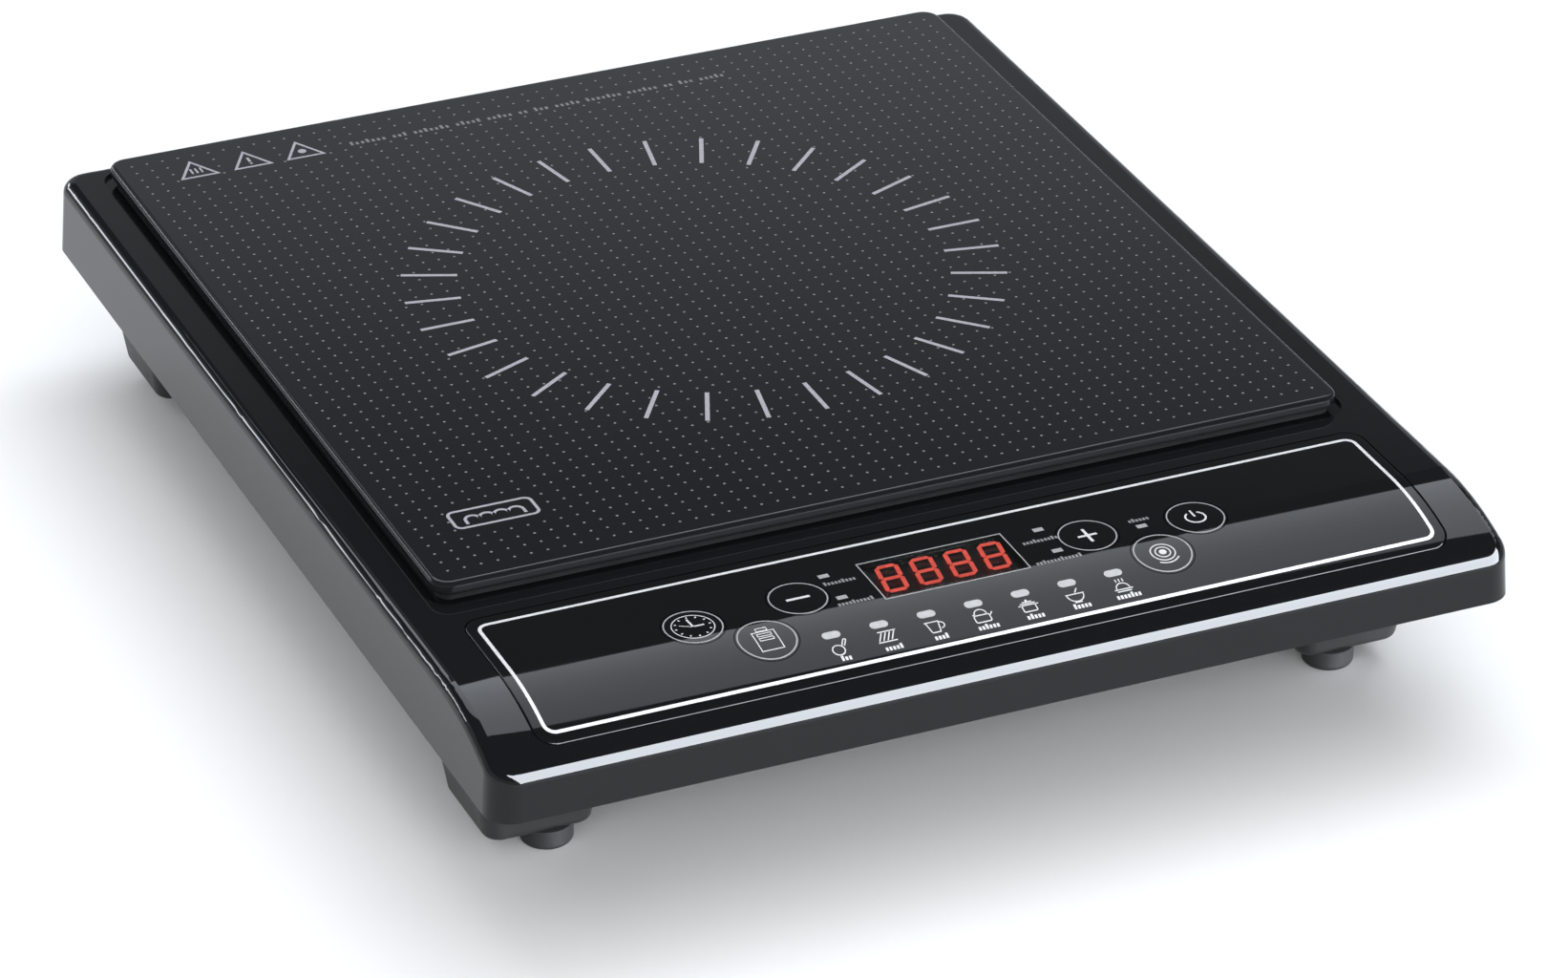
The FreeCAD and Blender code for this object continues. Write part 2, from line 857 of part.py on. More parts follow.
def case_body(inset, low_z, high_z):
    """Tray form from its floor to the top of its upright rim."""
    rim, base = case_taper(inset)
    slope = tapered_block(base, rim, (low_z, edge_z))
    upright = rounded_block(*rim, (edge_z, high_z))
    return slope.fuse(upright)


def corner_pads():
    """Drafted corner pads under the case, with their lower edges rounded."""
    pads = []
    x = housing_width / 2 - pad_side_inset - pad_width / 2
    for y in (front + pad_front_inset + pad_length / 2, rear - pad_rear_inset - pad_length / 2):
        for side in (-1, 1):
            low = (pad_width, pad_length, pad_corner_radius, side * x, y)
            high = (pad_width + 2 * pad_draft, pad_length + 2 * pad_draft, pad_corner_radius, side * x, y)
            pad = tapered_block(low, high, (pad_z, floor_z))
            lower = [edge for edge in pad.Edges if edge.BoundBox.ZMax < pad_z + 0.01]
            pads.append(pad.makeFillet(pad_edge_radius, lower))
    return pads


def round_grille(x, y, radius, z):
    """Slots of a round grille, split by a middle rib."""
    slots = []
    count = int(radius / slot_pitch)
    for index in range(-count, count + 1):
        offset = index * slot_pitch
        half = math.sqrt(radius ** 2 - offset ** 2) - grille_margin
        if half > 2 * slot_rib:
            slot_y = (y + offset - slot_width / 2, y + offset + slot_width / 2)
            for low, high in ((slot_rib / 2, half), (-half, -slot_rib / 2)):
                slots.append(box((x + low, x + high), slot_y, z))
    return slots


def slot_field(x, y, z):
    """Slots along Y that fill a rectangle, each slot_width wide."""
    count = int((x[1] - x[0]) / slot_pitch)
    return [box((x[0] + index * slot_pitch, x[0] + index * slot_pitch + slot_width), y, z)
            for index in range(count)]


def bottom_case():
    """Matt tray with corner pads, posts, vents and the block that holds the cord gland."""
    rim_top = edge_z + case_rim_height
    outer = case_body(0, case_z, rim_top)
    block_x = (gland_x - gland_block_width / 2, gland_x + gland_block_width / 2)
    outer = outer.fuse(corner_pads())
    outer = outer.fuse(box(block_x, (gland_block_front, gland_block_rear), (case_z, edge_z)))
    rim, base = case_taper(case_wall)
    hollow = tapered_block(base, rim, (floor_z, edge_z)).fuse(rounded_block(*rim, (edge_z, rim_top)))
    inner_block = box((block_x[0] + case_wall, block_x[1] - case_wall),
                      (gland_block_front - 1.0, gland_block_rear - case_wall), (floor_z, edge_z))
    tray = outer.cut([hollow, inner_block])
    posts = []
    cuts = []
    for x, y in case_screw_places():
        posts.append(cylinder(case_post_radius, x, y, (floor_z - 0.5, post_split_z)))
        cuts.append(cylinder(screw_radius, x, y, (case_z, post_split_z)))
        cuts.append(cylinder(screw_head_radius + 0.4, x, y, (case_z, case_z + case_screw_recess)))
    for x, y in coil_post_places():
        posts.append(cylinder(coil_post_radius, x, y, (floor_z - 0.5, former_z)))
        cuts.append(cylinder(small_screw_radius, x, y, (former_z - 10.0, former_z)))
    for x, y in standoff_places():
        posts.append(cylinder(standoff_radius, x, y, (floor_z - 0.5, power_board_z)))
        cuts.append(cylinder(small_screw_radius, x, y, (case_z + 1.0, power_board_z)))
    for x, y in fan_screw_places():
        posts.append(cylinder(fan_post_radius, x, y, (floor_z - 0.5, fan_z)))
        cuts.append(cylinder(small_screw_radius, x, y, (case_z + 0.8, fan_z)))
    for name, x, y in foot_places():
        cuts.append(cylinder(foot_stem_radius + foot_stem_gap, x, y, (pad_z, floor_z)))
        cuts.append(cylinder(foot_pocket_radius, x, y, (pad_z + foot_pad_floor, floor_z)))
    cuts.extend(round_grille(fan_x, fan_y, fan_bore_radius - grille_inset, (case_z - 1.0, floor_z)))
    sink_slots = (glass_y + sink_slot_y[0], glass_y + sink_slot_y[1])
    cuts.extend(slot_field(sink_slot_x, sink_slots, (case_z - 1.0, floor_z)))
    rear_slot_z = (floor_z + rear_slot_margins[0], edge_z - rear_slot_margins[1])
    cuts.extend(slot_field(rear_slot_x, (rear - case_rear_inset + 1.0, rear), rear_slot_z))
    neck_start = Vector(gland_x, gland_block_rear - 2 * case_wall, gland_z)
    cuts.append(Part.makeCylinder(gland_neck_radius, 3 * case_wall, neck_start, Vector(0, 1, 0)))
    return fuse_all(tray, posts).cut(cuts)


def case_closing_screws():
    """Screws from below that close the case."""
    seat = case_z + case_screw_recess
    length = post_split_z + case_screw_depth - seat
    return Part.makeCompound([
        pan_screw(x, y, seat, length, screw_radius, screw_head_radius, screw_head_height, True)
        for x, y in case_screw_places()])


def rubber_foot(x, y):
    """Rubber foot whose stem snaps through the floor of its pad."""
    body = cylinder(foot_radius, x, y, (0, foot_height))
    lower = [edge for edge in body.Edges if edge.BoundBox.ZMax < 0.01]
    body = body.makeFillet(foot_edge_radius, lower)
    head_z = foot_height + foot_pad_floor
    stem = cylinder(foot_stem_radius, x, y, (foot_height, head_z + foot_stem_rise))
    head = Part.makeCone(foot_head_radius, foot_stem_radius, foot_head_height, Vector(x, y, head_z))
    dimple = cylinder(foot_radius / 3, x, y, (0, foot_dimple_depth))
    return body.fuse([stem, head]).removeSplitter().cut(dimple)


def ring_about_y(outer, inner, start_y, length, z):
    """Tube along Y."""
    axis = Vector(0, 1, 0)
    start = Vector(gland_x, start_y, z)
    return Part.makeCylinder(outer, length, start, axis).cut(Part.makeCylinder(inner, length, start, axis))


def cord_gland():
    """Bush that lines the cord hole, with a flange on each side of the wall."""
    z = gland_z
    wall_y = gland_block_rear - case_wall
    outer_flange = ring_about_y(gland_flange_radius, gland_bore_radius, wall_y + case_wall,
                                gland_flange_thickness, z)
    neck = ring_about_y(gland_neck_radius, gland_bore_radius, wall_y, case_wall, z)
    inner_flange = ring_about_y(gland_flange_radius, gland_bore_radius, wall_y - gland_flange_thickness,
                                gland_flange_thickness, z)
    sleeve_y = wall_y - gland_flange_thickness - gland_sleeve_length
    sleeve = ring_about_y(gland_neck_radius, gland_bore_radius, sleeve_y, gland_sleeve_length, z)
    return fuse_all(outer_flange, [neck, inner_flange, sleeve])


# ---- induction coil ----

def spiral_edge(start_radius, end_angle):
    """Flat spiral that grows by one pitch each turn."""
    points = []
    steps_per_turn = 24
    steps = int(end_angle * steps_per_turn)
    for index in range(steps + 1):
        angle = 2 * math.pi * index / steps_per_turn
        radius = start_radius + coil_pitch * index / steps_per_turn
        points.append(Vector(radius * math.cos(angle), glass_y + radius * math.sin(angle), coil_z))
    curve = Part.BSplineCurve()
    curve.interpolate(points)
    return curve.toShape()


def coil_winding():
    """Flat winding of stranded wire."""
    inner = spiral_edge(coil_inner_radius, coil_turns)
    outer = spiral_edge(coil_inner_radius + coil_wire_width, coil_turns)
    caps = []
    for end in (0, -1):
        caps.append(Part.LineSegment(inner.Vertexes[end].Point, outer.Vertexes[end].Point).toShape())
    face = Part.Face(Part.Wire(Part.__sortEdges__([inner, outer] + caps)))
    return face.extrude(Vector(0, 0, coil_wire_height))


def coil_former():
    """Moulded disc under the winding, with ferrite channels and four fixing lugs."""
    disc = cylinder(former_radius, 0, glass_y, (former_z, coil_z))
    lugs = []
    for x, y in coil_post_places():
        lugs.append(cylinder(former_lug_radius, x, y, (former_z, coil_z)))
    wall = ferrite_channel_wall
    walls = []
    for index in range(ferrite_count):
        channel_x = (ferrite_start_radius - wall, ferrite_start_radius + ferrite_length + wall)
        channel_y = (-ferrite_width / 2 - wall, ferrite_width / 2 + wall)
        channel = box(channel_x, channel_y, (ferrite_z + wall, former_z))
        channel.rotate(Vector(0, 0, 0), Vector(0, 0, 1), ferrite_angle(index))
        channel.translate(Vector(0, glass_y, 0))
        walls.append(channel)
    former = fuse_all(disc, lugs + walls)
    cuts = [ferrite_bar(index) for index in range(ferrite_count)]
    cuts.append(cylinder(sensor_radius, 0, glass_y, (ferrite_z, coil_z)))
    for x, y in coil_post_places():
        cuts.append(cylinder(small_screw_radius, x, y, (former_z, coil_z)))
    return former.cut(cuts)


def ferrite_angle(index):
    """Direction of one ferrite bar, between the fixing lugs."""
    return 360.0 / ferrite_count * (index + 0.5)


def ferrite_bar(index):
    """One radial ferrite bar in its channel."""
    bar = box((ferrite_start_radius, ferrite_start_radius + ferrite_length),
              (-ferrite_width / 2, ferrite_width / 2), (ferrite_z, former_z))
    bar.rotate(Vector(0, 0, 0), Vector(0, 0, 1), ferrite_angle(index))
    bar.translate(Vector(0, glass_y, 0))
    return bar


def mica_disc():
    """Heat-resistant sheet between the winding and the glass."""
    disc = cylinder(former_radius - mica_inset, 0, glass_y, (mica_z, glass_z))
    return disc.cut(cylinder(sensor_radius + sensor_hole_gap, 0, glass_y, (mica_z, glass_z)))


def sensor_holder():
    """Silicone cup in the middle of the coil that presses the heat sensor to the glass."""
    low = former_z - sensor_rim_height
    cup = cylinder(sensor_radius, 0, glass_y, (low, glass_z - sensor_bead_height))
    rim = cylinder(sensor_radius + sensor_rim, 0, glass_y, (low, former_z))
    return cup.fuse(rim).removeSplitter()


def heat_sensor():
    """Thermistor bead on top of its holder, against the glass."""
    return cylinder(sensor_radius / 3, 0, glass_y, (glass_z - sensor_bead_height, glass_z))


def coil_screws():
    """Screws from above that hold the coil's lugs to their posts."""
    length = former_thickness + coil_screw_depth
    return Part.makeCompound([
        small_screw(x, y, coil_z, length, False)
        for x, y in coil_post_places()])


def coil_lead(end, terminal):
    """Insulated lead from the edge of the former down to a terminal on the power board."""
    top = coil_z + coil_wire_height / 2
    x, y = from_coil(terminal)
    points = [Vector(*from_coil(end), top), Vector(x, y, top), Vector(x, y, power_top_z + terminal_height)]
    section = Part.Wire(Part.makeCircle(lead_radius, points[0], points[1] - points[0]))
    return swept(bent_path(points, lead_bend), section)


def coil_leads():
    """Both leads of the winding."""
    return Part.makeCompound([coil_lead(*route) for route in lead_routes])


def coil_terminals():
    """Threaded brass terminals for the leads."""
    return Part.makeCompound([
        cylinder(terminal_radius, *from_coil(terminal), (power_top_z, power_top_z + terminal_height))
        for end, terminal in lead_routes])


# ---- cooling fan ----

def fan_screw_places():
    """Corner holes of the fan frame."""
    return [(fan_x + side_x * fan_screw_span, fan_y + side_y * fan_screw_span)
            for side_x in (-1, 1) for side_y in (-1, 1)]


def fan_frame():
    """Square fan frame with three struts that carry the motor base."""
    z = (fan_z, fan_z + fan_height)
    frame = rounded_block(fan_size, fan_size, fan_corner_radius, fan_x, fan_y, z)
    frame = frame.cut(cylinder(fan_bore_radius, fan_x, fan_y, z))
    waist_z = (z[0] + fan_flange, z[1] - fan_flange)
    waist = centred_box(fan_size + 1, fan_size + 1, fan_x, fan_y, waist_z)
    waist = waist.cut(cylinder(fan_bore_radius + fan_bore_wall, fan_x, fan_y, z))
    for x, y in fan_screw_places():
        waist = waist.cut(cylinder(fan_corner_boss_radius, x, y, z))
    frame = frame.cut(waist)
    base_z = (fan_z, fan_z + fan_base_thickness)
    parts = [cylinder(fan_base_radius, fan_x, fan_y, base_z)]
    for index in range(fan_strut_count):
        strut = box((0, fan_bore_radius + 1.0), (-fan_strut_width / 2, fan_strut_width / 2), base_z)
        strut.rotate(Vector(0, 0, 0), Vector(0, 0, 1), 360.0 / fan_strut_count * (index + 0.25))
        strut.translate(Vector(fan_x, fan_y, 0))
        parts.append(strut)
    frame = fuse_all(frame, parts)
    cuts = [cylinder(small_screw_radius, x, y, z) for x, y in fan_screw_places()]
    return frame.cut(cuts)


def fan_motor():
    """Wound core on a bearing tube, fixed to the frame's base."""
    base = fan_z + fan_base_thickness
    tube = cylinder(fan_tube_radius, fan_x, fan_y, (base, base + fan_tube_height))
    pole_z = (base + fan_pole_lift, base + fan_core_height)
    core = []
    for index in range(4):
        pole = centred_box(2 * fan_stator_radius, fan_pole_width, 0, 0, pole_z)
        pole = pole.common(cylinder(fan_stator_radius, 0, 0, (base, base + fan_height)))
        pole.rotate(Vector(0, 0, 0), Vector(0, 0, 1), 45.0 * index)
        pole.translate(Vector(fan_x, fan_y, 0))
        core.append(pole)
    plate = cylinder(fan_stator_radius, fan_x, fan_y, (base, base + fan_plate_thickness))
    motor = fuse_all(tube, core + [plate])
    bore = cylinder(fan_shaft_radius + fan_shaft_gap, fan_x, fan_y, (base, base + fan_height))
    return motor.cut(bore)


def fan_rotor():
    """Hub cup with swept blades."""
    top = fan_z + fan_height - fan_rotor_drop
    low = fan_z + fan_base_thickness + fan_rotor_lift
    hub = cylinder(fan_hub_radius, fan_x, fan_y, (low, top))
    inside = cylinder(fan_hub_radius - fan_hub_wall, fan_x, fan_y, (low, top - fan_hub_wall))
    crown = [edge for edge in hub.Edges if edge.BoundBox.ZMin > top - 0.01]
    hub = hub.makeFillet(fan_hub_edge_radius, crown)
    hub = hub.cut(inside)
    sweep = cylinder(fan_blade_radius, fan_x, fan_y, (low, top))
    room = sweep.cut(cylinder(fan_hub_radius - fan_hub_wall / 2, fan_x, fan_y, (low, top)))
    chord = (-fan_blade_chord / 2, fan_blade_chord / 2)
    skin = (-fan_blade_thickness / 2, fan_blade_thickness / 2)
    blades = []
    for index in range(fan_blade_count):
        blade = box((fan_hub_radius - fan_blade_root, fan_blade_radius + 2.0), chord, skin)
        blade.rotate(Vector(0, 0, 0), Vector(1, 0, 0), fan_blade_pitch)
        blade.translate(Vector(0, 0, (low + top) / 2))
        blade.rotate(Vector(0, 0, 0), Vector(0, 0, 1), 360.0 / fan_blade_count * index)
        blade.translate(Vector(fan_x, fan_y, 0))
        blades.append(blade.common(room))
    socket_z = (fan_tube_top() + fan_socket_gap, top - fan_hub_wall)
    socket = cylinder(fan_socket_radius, fan_x, fan_y, socket_z)
    rotor = fuse_all(hub, blades + [socket])
    return rotor.cut(cylinder(fan_shaft_radius, fan_x, fan_y, (low, top - fan_hub_wall)))


def fan_tube_top():
    """Height of the top of the fan's bearing tube."""
    return fan_z + fan_base_thickness + fan_tube_height


def fan_shaft():
    """Steel shaft pressed into the hub, running in the bearing tube."""
    low = fan_z + fan_base_thickness + fan_shaft_lift
    top = fan_z + fan_height - fan_rotor_drop - fan_hub_wall
    return cylinder(fan_shaft_radius, fan_x, fan_y, (low, top))


def fan_screws():
    """Long screws that hold the fan to its posts."""
    seat = fan_z + fan_height
    length = fan_height + fan_foot_height + fan_screw_depth
    return Part.makeCompound([
        small_screw(x, y, seat, length, False)
        for x, y in fan_screw_places()])


# ---- power board ----

def power_board():
    """Main circuit board, with holes where the coil posts pass through."""
    z = (power_board_z, power_top_z)
    board_y = (glass_y + power_board_y[0], glass_y + power_board_y[1])
    board = box(power_board_x, board_y, z)
    cuts = [cylinder(coil_post_radius + post_hole_gap, x, y, z) for x, y in coil_post_places()]
    cuts += [cylinder(small_screw_radius, x, y, z) for x, y in standoff_places()]
    return board.cut(cuts)


def power_board_screws():
    """Screws that hold the power board to its standoffs."""
    length = board_thickness + power_screw_depth
    return Part.makeCompound([
        small_screw(x, y, power_top_z, length, False)
        for x, y in standoff_places()])


def heat_sink():
    """Extruded heat sink: an upright plate with level fins behind it."""
    z = (power_top_z, power_top_z + sink_height)
    plate = box(sink_x, (sink_y, sink_y + sink_plate), z)
    fins = []
    count = int(sink_height / sink_fin_pitch)
    for index in range(count):
        low = z[0] + sink_foot + index * sink_fin_pitch
        fins.append(box(sink_x, (sink_y + sink_plate, sink_y + sink_length), (low, low + sink_fin)))
    return fuse_all(plate, fins)


def standing_device(x, size, legs):
    """Power device flat against the heat sink, with its legs in the board."""
    width, height, thickness = size
    low = power_top_z + device_lift
    body = box((x - width / 2, x + width / 2), (sink_y - thickness, sink_y), (low, low + height))
    pins = []
    for index in range(legs):
        pin_x = x + (index - (legs - 1) / 2) * width * 0.7 / (legs - 1)
        pin_z = (power_top_z, low + 0.2)
        pin_y = sink_y - thickness / 2
        pins.append(centred_box(device_pin_width, device_pin_thickness, pin_x, pin_y, pin_z))
    return fuse_all(body, pins)


def softened_box(size, place, radius):
    """Block on the power board with rounded upright and top edges."""
    width, length, height = size
    x, y = from_coil(place)
    block = centred_box(width, length, x, y, (power_top_z, power_top_z + height))
    edges = [edge for edge in block.Edges if edge.BoundBox.ZMax > power_top_z + 0.01]
    return block.makeFillet(radius, edges)


def choke():
    """Ring core with wire turns round it."""
    x, y = from_coil(choke_place)
    ring_z = power_top_z + choke_section
    ring = Part.makeTorus(choke_ring_radius, choke_section, Vector(x, y, ring_z))
    turns = []
    for index in range(choke_turns):
        angle = 360.0 / choke_turns * index
        centre = Vector(x + choke_ring_radius, y, ring_z)
        turn = Part.makeTorus(choke_section + choke_wire_gap, choke_wire_radius, centre, Vector(0, 1, 0))
        turn.rotate(Vector(x, y, ring_z), Vector(0, 0, 1), angle)
        turns.append(turn)
    foot_z = (power_top_z, power_top_z + choke_foot_height)
    foot = centred_box(choke_foot_side, choke_foot_side, x + choke_ring_radius, y, foot_z)
    side = 4 * choke_ring_radius
    return ring.fuse(turns + [foot]).common(centred_box(side, side, x, y, (power_top_z, top_z)))


def electrolytic_capacitors():
    """Upright can capacitors."""
    cans = []
    for place_x, place_y, radius, height in can_places:
        x, y = from_coil((place_x, place_y))
        can = cylinder(radius, x, y, (power_top_z, power_top_z + height))
        top = [edge for edge in can.Edges if edge.BoundBox.ZMin > power_top_z + height - 0.01]
        cans.append(can.makeFillet(can_edge_radius, top))
    return Part.makeCompound(cans)


def transformer():
    """Small supply transformer: a laminated core round a bobbin."""
    x, y = from_coil(transformer_place)
    core = centred_box(*core_size, x, y, (power_top_z + core_z[0], power_top_z + core_z[1]))
    bobbin = centred_box(bobbin_size[0], bobbin_size[1], x, y, (power_top_z, power_top_z + bobbin_size[2]))
    return fuse_all(core, [bobbin])


def fuse_holder():
    """Glass fuse in its two clips."""
    x, y = from_coil(fuse_place)
    start = Vector(x, y - fuse_length / 2, power_top_z + fuse_lift)
    tube = Part.makeCylinder(fuse_radius, fuse_length, start, Vector(0, 1, 0))
    width, length, height = fuse_clip_size
    clip_z = (power_top_z, power_top_z + height)
    clips = [centred_box(width, length, x, y + side * fuse_clip_span, clip_z) for side in (-1, 1)]
    return fuse_all(tube, clips)


# ---- every piece, saved under its own name ----

save("upper_housing", upper_housing())
save("glass_plate", glass_plate())
save("glass_gasket", glass_gasket())
save("panel_overlay", panel_overlay())
save("display_window", display_window())
save("indicator_lenses", indicator_lenses())
for key_name, key_x, key_y in key_places():
    save("key_" + key_name, push_key(key_x, key_y))
    save("switch_button_" + key_name, switch_button(key_x, key_y))
save("switch_bodies", switch_bodies())
save("control_board", control_board())
save("control_board_screws", control_board_screws())
save("display_module", display_module())
save("indicator_leds", indicator_leds())
save("buzzer", buzzer())
save("control_chip", control_chip())
save("ribbon_connectors", ribbon_connectors())
save("ribbon_cable", ribbon_cable())
save("bottom_case", bottom_case())
save("case_closing_screws", case_closing_screws())
for foot_name, foot_x, foot_y in foot_places():
    save("foot_" + foot_name, rubber_foot(foot_x, foot_y))
save("cord_gland", cord_gland())
save("coil_winding", coil_winding())
save("coil_former", coil_former())
save("ferrite_bars", Part.makeCompound([ferrite_bar(index) for index in range(ferrite_count)]))
save("mica_disc", mica_disc())
save("sensor_holder", sensor_holder())
save("heat_sensor", heat_sensor())
save("coil_screws", coil_screws())
save("coil_leads", coil_leads())
save("coil_terminals", coil_terminals())
save("fan_frame", fan_frame())
save("fan_motor", fan_motor())
save("fan_rotor", fan_rotor())
save("fan_shaft", fan_shaft())
save("fan_screws", fan_screws())
save("power_board", power_board())
save("power_board_screws", power_board_screws())
save("heat_sink", heat_sink())
save("switching_transistor", standing_device(transistor_x, transistor_size, transistor_legs))
save("bridge_rectifier", standing_device(rectifier_x, rectifier_size, rectifier_legs))
save("resonant_capacitor", softened_box(resonant_size, resonant_place, box_edge_radius))
save("filter_capacitor", softened_box(filter_size, filter_place, box_edge_radius))
save("mains_capacitor", softened_box(mains_size, mains_place, mains_edge_radius))
save("choke", choke())
save("electrolytic_capacitors", electrolytic_capacitors())
save("transformer", transformer())
save("fuse", fuse_holder())
print(len(saved), "pieces")
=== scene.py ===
"""Finishes, printed marks, light and camera for the portable induction cooktop.

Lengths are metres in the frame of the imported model: +Z up, control panel towards -Y.
"""

import json
import logging
import math
from dataclasses import dataclass, field
from enum import Enum
from functools import cached_property
from typing import Any, Callable, Iterable, Mapping, Sequence, Union

import bmesh
import bpy
from mathutils import Matrix, Vector

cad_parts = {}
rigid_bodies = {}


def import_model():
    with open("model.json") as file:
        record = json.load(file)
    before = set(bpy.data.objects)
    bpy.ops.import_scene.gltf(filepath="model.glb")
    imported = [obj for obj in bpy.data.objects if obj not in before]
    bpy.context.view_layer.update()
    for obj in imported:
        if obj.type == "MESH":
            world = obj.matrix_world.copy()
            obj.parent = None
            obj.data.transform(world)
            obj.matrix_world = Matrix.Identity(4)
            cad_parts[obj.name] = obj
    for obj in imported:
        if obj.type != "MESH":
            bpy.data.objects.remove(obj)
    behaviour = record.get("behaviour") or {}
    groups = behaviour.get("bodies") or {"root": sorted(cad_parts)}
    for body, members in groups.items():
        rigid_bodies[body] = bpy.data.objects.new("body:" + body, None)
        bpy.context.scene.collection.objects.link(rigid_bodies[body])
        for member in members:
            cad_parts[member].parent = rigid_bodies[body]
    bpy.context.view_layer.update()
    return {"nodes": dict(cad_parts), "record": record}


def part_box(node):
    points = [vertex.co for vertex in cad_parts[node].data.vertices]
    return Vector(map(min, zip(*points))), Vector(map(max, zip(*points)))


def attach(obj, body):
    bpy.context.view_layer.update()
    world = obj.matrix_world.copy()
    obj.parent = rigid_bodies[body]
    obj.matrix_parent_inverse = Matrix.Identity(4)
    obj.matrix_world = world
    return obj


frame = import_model()

log = logging.getLogger("cooktop")

MM = 0.001
FULL_TURN = 2 * math.pi
NEUTRAL = (1.0, 1.0, 1.0)
WAVE_PERIOD = 0.314  # distance from band to band of a wave texture at scale 1
BASE = "base"
Colour = tuple[float, float, float, float]
Number = Union[float, "Socket"]
Surface = Callable[[float], float]


def grey(value: float, tint: tuple[float, float, float] = NEUTRAL) -> Colour:
    """Return an opaque grey of a linear value, leaned towards a tint."""
    return (value * tint[0], value * tint[1], value * tint[2], 1.0)


# ---------------------------------------------------------------- shader maths


class Socket:
    """An output of a shader node that takes part in Python arithmetic."""

    def __init__(self, graph: "Graph", link: bpy.types.NodeSocket) -> None:
        """Remember the graph that new Math nodes go into, and the output itself."""
        self.graph = graph
        self.link = link

    def _math(self, operation: str, first: Number, second: Number) -> "Socket":
        """Add one Math node and return its result."""
        return self.graph.add("ShaderNodeMath", {"operation": operation}, {0: first, 1: second})

    def __add__(self, other: Number) -> "Socket":
        """Return self + other."""
        return self._math("ADD", self, other)

    def __radd__(self, other: Number) -> "Socket":
        """Return other + self."""
        return self._math("ADD", other, self)

    def __sub__(self, other: Number) -> "Socket":
        """Return self - other."""
        return self._math("SUBTRACT", self, other)

    def __rsub__(self, other: Number) -> "Socket":
        """Return other - self."""
        return self._math("SUBTRACT", other, self)

    def __mul__(self, other: Number) -> "Socket":
        """Return self * other."""
        return self._math("MULTIPLY", self, other)

    def __rmul__(self, other: Number) -> "Socket":
        """Return other * self."""
        return self._math("MULTIPLY", other, self)

    def __gt__(self, other: Number) -> "Socket":
        """Return 1 where self is above other, else 0."""
        return self._math("GREATER_THAN", self, other)

    def __lt__(self, other: Number) -> "Socket":
        """Return 1 where self is below other, else 0."""
        return self._math("LESS_THAN", self, other)


